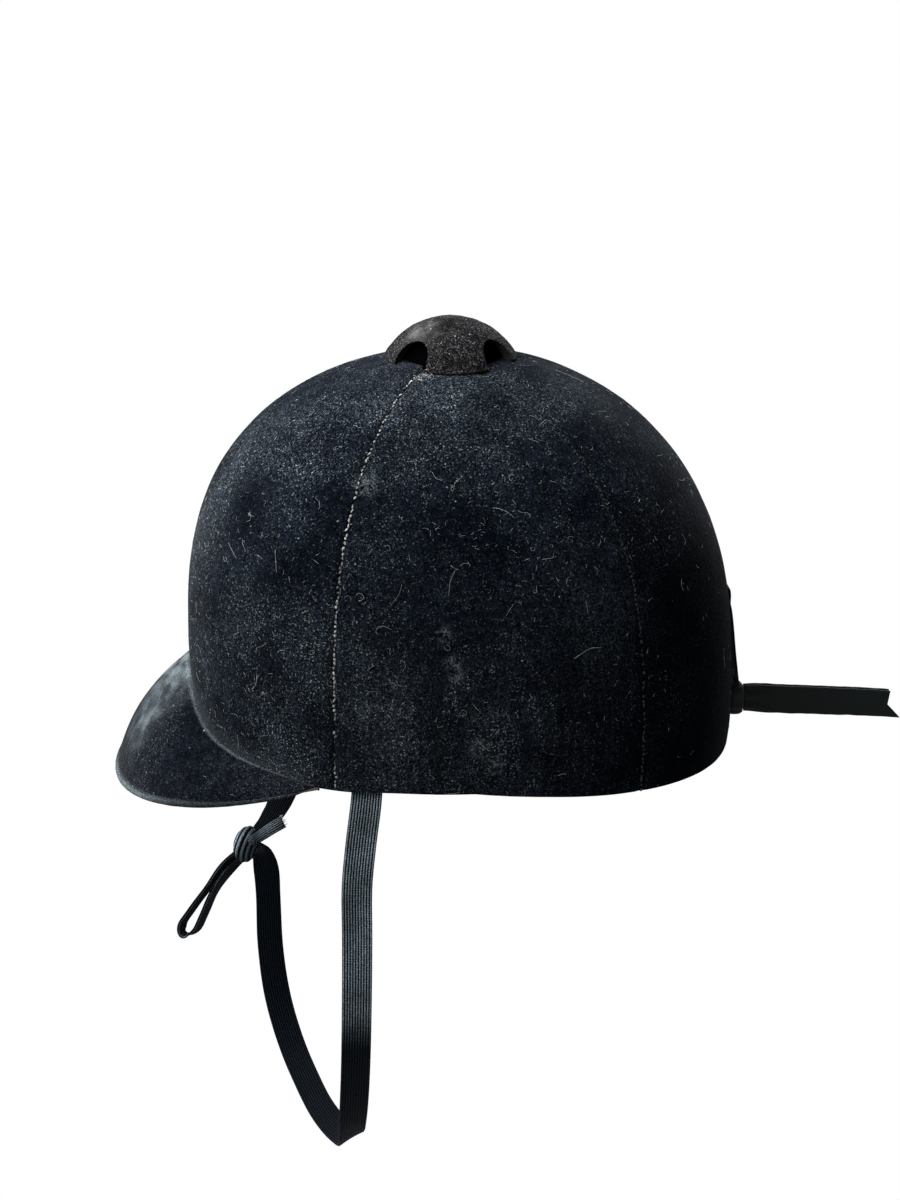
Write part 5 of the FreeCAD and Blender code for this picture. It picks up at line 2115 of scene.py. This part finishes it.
    def cut_end(self) -> None:
        """Make the folded cut end above the knot, with its frayed fibres."""
        route = (
            ((-77.0, -88.0, -92.0), (0.5, 0.45, -0.72), 4.5),
            ((-73.0, -83.8, -88.4), (0.6, 0.46, -0.63), 5.5),
            ((-71.0, -78.0, -83.6), (0.6, 0.46, -0.63), 6.0),
            ((-70.5, -71.5, -79.6), (0.6, 0.46, -0.63), 6.2))
        path = BandPath([Station(*row) for row in route], step=0.0009)
        band = Band(path, ribs=6, relief=0.00022, curl=0.0009)
        piece = finish_mesh("elastic_cut_end", band.mesh())
        self.shop.dress(piece, self.shop.finishes.elastic, "elastic", ["strap_cut_end"], Body.STRAP)
        rng = random.Random(11)
        mesh = bmesh.new()
        spot, over, out = path.frame(len(path.places) - 1)
        along = (path.places[-1] - path.places[-3]).normalized()
        for _ in range(26):
            start = spot + over * rng.uniform(-0.0032, 0.0032) + out * rng.uniform(-0.0004, 0.0004)
            start -= along * 0.0006
            bend = over * rng.uniform(-0.5, 0.5) + out * rng.uniform(-0.5, 0.5)
            reach = rng.uniform(0.0008, 0.0024)
            points = [start + along * (reach * t) + bend * (reach * t * t) for t in (0.0, 0.35, 0.7, 1.0)]
            tube_between(mesh, points, 0.00009, 5)
        fray = finish_mesh("elastic_frayed_fibres", mesh)
        self.shop.dress(fray, self.shop.finishes.lint, "elastic", (), Body.STRAP)


# ---- bow


@dataclass
class NapeBow:
    """Ribbon bow at the nape, with two hanging tails."""

    shop: Shop
    level: float = 0.001
    ribbon: float = 0.0127
    thickness: float = 0.0006
    tail_start: float = 0.1287
    tail_length: float = 0.0646
    tail_fall: float = 0.0056
    notch: float = 0.006
    spacing: float = 0.0022

    def build(self) -> None:
        """Make the patch, the knot, the flattened loop and the tails."""
        self.patch()
        self.knot()
        self.loop()
        self.tail(Side.LEFT, Body.TAIL_LEFT)
        self.tail(Side.RIGHT, Body.TAIL_RIGHT)

    @staticmethod
    def nape(x: float, level: float, stand: float) -> Vector:
        """Return the point a stand-off behind the velvet at this distance from the middle."""
        turn = FORM.turn_at(lambda p: x - p.x, 60.0, 120.0, level, -stand)
        return FORM.point(turn, level, -stand)

    def patch(self) -> None:
        """Make the ribbon patch sewn to the nape."""
        def place(across: float, up: float) -> Vector:
            """Return the point at a share across and up."""
            x = mix(0.0079, -0.0079, across)
            level = self.level + self.ribbon * (up - 0.5) * 0.94
            return self.nape(x, level, 0.00095 + 0.00008 * math.sin(up * 20.0))

        piece = finish_mesh("bow_ribbon_patch", lay_grid(24, 20, place))
        self.shop.dress(piece, self.shop.finishes.ribbon, "ribbon", ["bow_patch"])
        add_thickness(piece, self.thickness)

    def knot(self) -> None:
        """Make the pinched ribbon knot."""
        low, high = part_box("bow_knot")
        centre, half = (low + high) / 2, (high - low) / 2 + Vector((0.0003, 0.0007, 0.0003))

        def place(across: float, up: float) -> Vector:
            """Return the point at a share across and up."""
            turn, rise = across * 2 * math.pi, (up - 0.5) * math.pi

            def power(value: float, exponent: float) -> float:
                """Return the power of a value, with its sign kept."""
                return math.copysign(abs(value) ** exponent, value)

            ring = power(math.cos(rise), 0.45)
            spot = Vector((power(math.cos(turn), 0.6) * ring, power(math.sin(turn), 0.6) * ring,
                           power(math.sin(rise), 0.6)))
            pleat = 1.0 - 0.07 * (0.5 + 0.5 * math.cos(up * 38.0)) * ring
            return centre + Vector((spot.x * half.x * pleat, spot.y * half.y * pleat, spot.z * half.z))

        piece = finish_mesh("bow_ribbon_knot", face_outwards(lay_grid(40, 48, place, weld=1e-6)))
        self.shop.dress(piece, self.shop.finishes.ribbon, "ribbon", ["bow_knot"])

    def loop(self) -> None:
        """Make the flattened loop that lies up the back of the cap."""
        rises = (5.2, 4.0, 3.0, 2.4, 1.8, 1.1)
        low, top = self.level / MM + self.ribbon / MM / 2 + 0.8, 54.0
        levels = [mix(low, top, i / 5) for i in range(6)]

        def strand(share: float) -> list[Station]:
            """Return the stations of one strand, at its share of the rise."""
            found = []
            for level, rise in zip(levels, rises):
                stand = mix(0.75, rise - 0.4, share)
                y = self.nape(0.0, level * MM, stand * MM).y / MM
                found.append(Station((0.0, y, level), (1.0, 0.0, 0.0)))
            return found

        route = strand(0.0) + strand(0.34)[::-1] + strand(0.67) + strand(1.0)[::-1]
        path = BandPath(route, step=0.001)
        band = Band(path, thickness=0.0009, ribs=3, relief=0.0, per_rib=5, curl=-0.0003)
        piece = finish_mesh("bow_ribbon_loop", band.mesh())
        self.shop.dress(piece, self.shop.finishes.ribbon, "ribbon", ["bow_loop"])

    def tail(self, side: Side, body: Body) -> None:
        """Make one ribbon tail, pinched at its root and cut to a swallow-tail.

        Args:
            side: Which tail.
            body: The body that it rides on.
        """
        half = self.ribbon / 2

        def place(across: float, along: float) -> Vector:
            """Return the point at a share across and along."""
            over = 2 * across - 1.0
            cut = self.notch * -over if over < 0 else 0.001 * over
            length = self.tail_length + cut
            y = self.tail_start + 0.0003 + length * along
            pinch = mix(0.93, 1.0, smooth(along / 0.10))
            z = self.level - self.tail_fall * along + over * half * pinch
            z += 0.00025 * math.sin(along * 9.0) * along
            z += 0.00022 * noise.noise(Vector((y * 190.0, over, side.value))) * abs(over)
            wave = 0.0006 * math.sin(along * 7.0 + 0.6) * smooth(along / 0.3)
            fold = 0.00035 * math.sin(over * 7.5) * (1.0 - smooth(along / 0.2))
            return Vector((side.value * self.spacing / 2 + wave + fold, y, z))

        piece = finish_mesh(f"bow_ribbon_tail_{side.name.lower()}", lay_grid(24, 90, place))
        node = f"bow_tail_{side.name.lower()}"
        self.shop.dress(piece, self.shop.finishes.ribbon, "ribbon", [node], body)
        add_thickness(piece, self.thickness, 0.0)


# ---- studio


@dataclass
class Studio:
    """Pale floor, soft lamps and the camera."""

    floor_level: float = -1.30
    distance: float = 1.0
    target: Triple = (0.0, -0.0002, 0.050)
    bearing: float = 6.0
    elevation: float = 18.0
    lens: float = 70.35
    sky: Colour = (0.93, 0.96, 1.0)
    sky_strength: float = 0.075

    def build(self) -> None:
        """Make the studio."""
        self.floor()
        self.world()
        self.lamp("key_lamp", (0.95, -1.15, 1.10), 0.8, 30.0)
        self.lamp("brow_lamp", (-0.45, -1.50, 0.45), 0.8, 32.0)
        self.lamp("top_lamp", (-0.35, -0.25, 1.55), 0.9, 50.0)
        self.lamp("nape_lamp", (-1.10, 1.00, 0.75), 1.0, 8.0)
        self.camera()
        bpy.context.scene.view_settings.view_transform = "Standard"

    def floor(self) -> None:
        """Make the plain pale floor, which turns white where only the camera looks."""
        mesh = bmesh.new()
        bmesh.ops.create_grid(mesh, x_segments=2, y_segments=2, size=6.0)
        for vert in mesh.verts:
            vert.co.z = self.floor_level
        piece = finish_mesh("studio_floor", mesh)
        g = Shader("pale_floor")
        seen = g.seen_directly()
        piece.data.materials.append(g.shade(g.blend(seen, (0.55, 0.55, 0.55), (0.0, 0.0, 0.0)), 1.0, None, {
            "Specular IOR Level": 0.0, "Emission Color": (1.0, 1.0, 1.0), "Emission Strength": seen}))

    def world(self) -> None:
        """Light the studio evenly from all round, white to the camera."""
        world = bpy.data.worlds.new("studio_world")
        bpy.context.scene.world = world
        g = Graph(world)
        soft, white = (g.add("ShaderNodeBackground", None, {"Color": colour, "Strength": strength})
                       for colour, strength in ((self.sky, self.sky_strength), ((1.0, 1.0, 1.0), 1.0)))
        lights = {0: g.seen_directly(), 1: soft.outputs[0], 2: white.outputs[0]}
        shown = g.add("ShaderNodeMixShader", None, lights)
        g.add("ShaderNodeOutputWorld", None, {0: shown.outputs[0]})

    @staticmethod
    def lamp(name: str, place: Triple, size: float, power: float) -> None:
        """Hang one soft lamp that points at the cap.

        Args:
            name: Its name.
            place: Where it hangs, in metres.
            size: Side of its square face.
            power: Its power in watts.
        """
        light = bpy.data.lights.new(name, "AREA")
        light.size = size
        light.energy = power
        lamp = bpy.data.objects.new(name, light)
        bpy.context.scene.collection.objects.link(lamp)
        lamp.location = place
        aim = Vector((0.0, 0.0, 0.05)) - Vector(place)
        lamp.rotation_euler = aim.to_track_quat("-Z", "Y").to_euler()

    def camera(self) -> None:
        """Stand the camera at the wearer's left, a little above the cap."""
        turn, rise = math.radians(self.bearing), math.radians(self.elevation)
        back = Vector((math.cos(rise) * math.cos(turn), -math.cos(rise) * math.sin(turn), math.sin(rise)))
        data = bpy.data.cameras.new("camera")
        data.lens = self.lens
        data.sensor_width = 36.0
        camera = bpy.data.objects.new("camera", data)
        bpy.context.scene.collection.objects.link(camera)
        camera.location = Vector(self.target) + back * self.distance
        camera.rotation_euler = (-back).to_track_quat("-Z", "Y").to_euler()
        bpy.context.scene.camera = camera


def main() -> None:
    """Build the looks of the cap round its frame."""
    logging.basicConfig(level=logging.INFO, format="%(name)s: %(message)s")
    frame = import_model()
    shop = Shop(frame["nodes"], Finishes())
    Studio().build()
    for part in (VelvetCover, Peak, CrownButton, Inside, ChinStrap, NapeBow, Lint):
        part(shop).build()


if __name__ == "__main__":
    main()
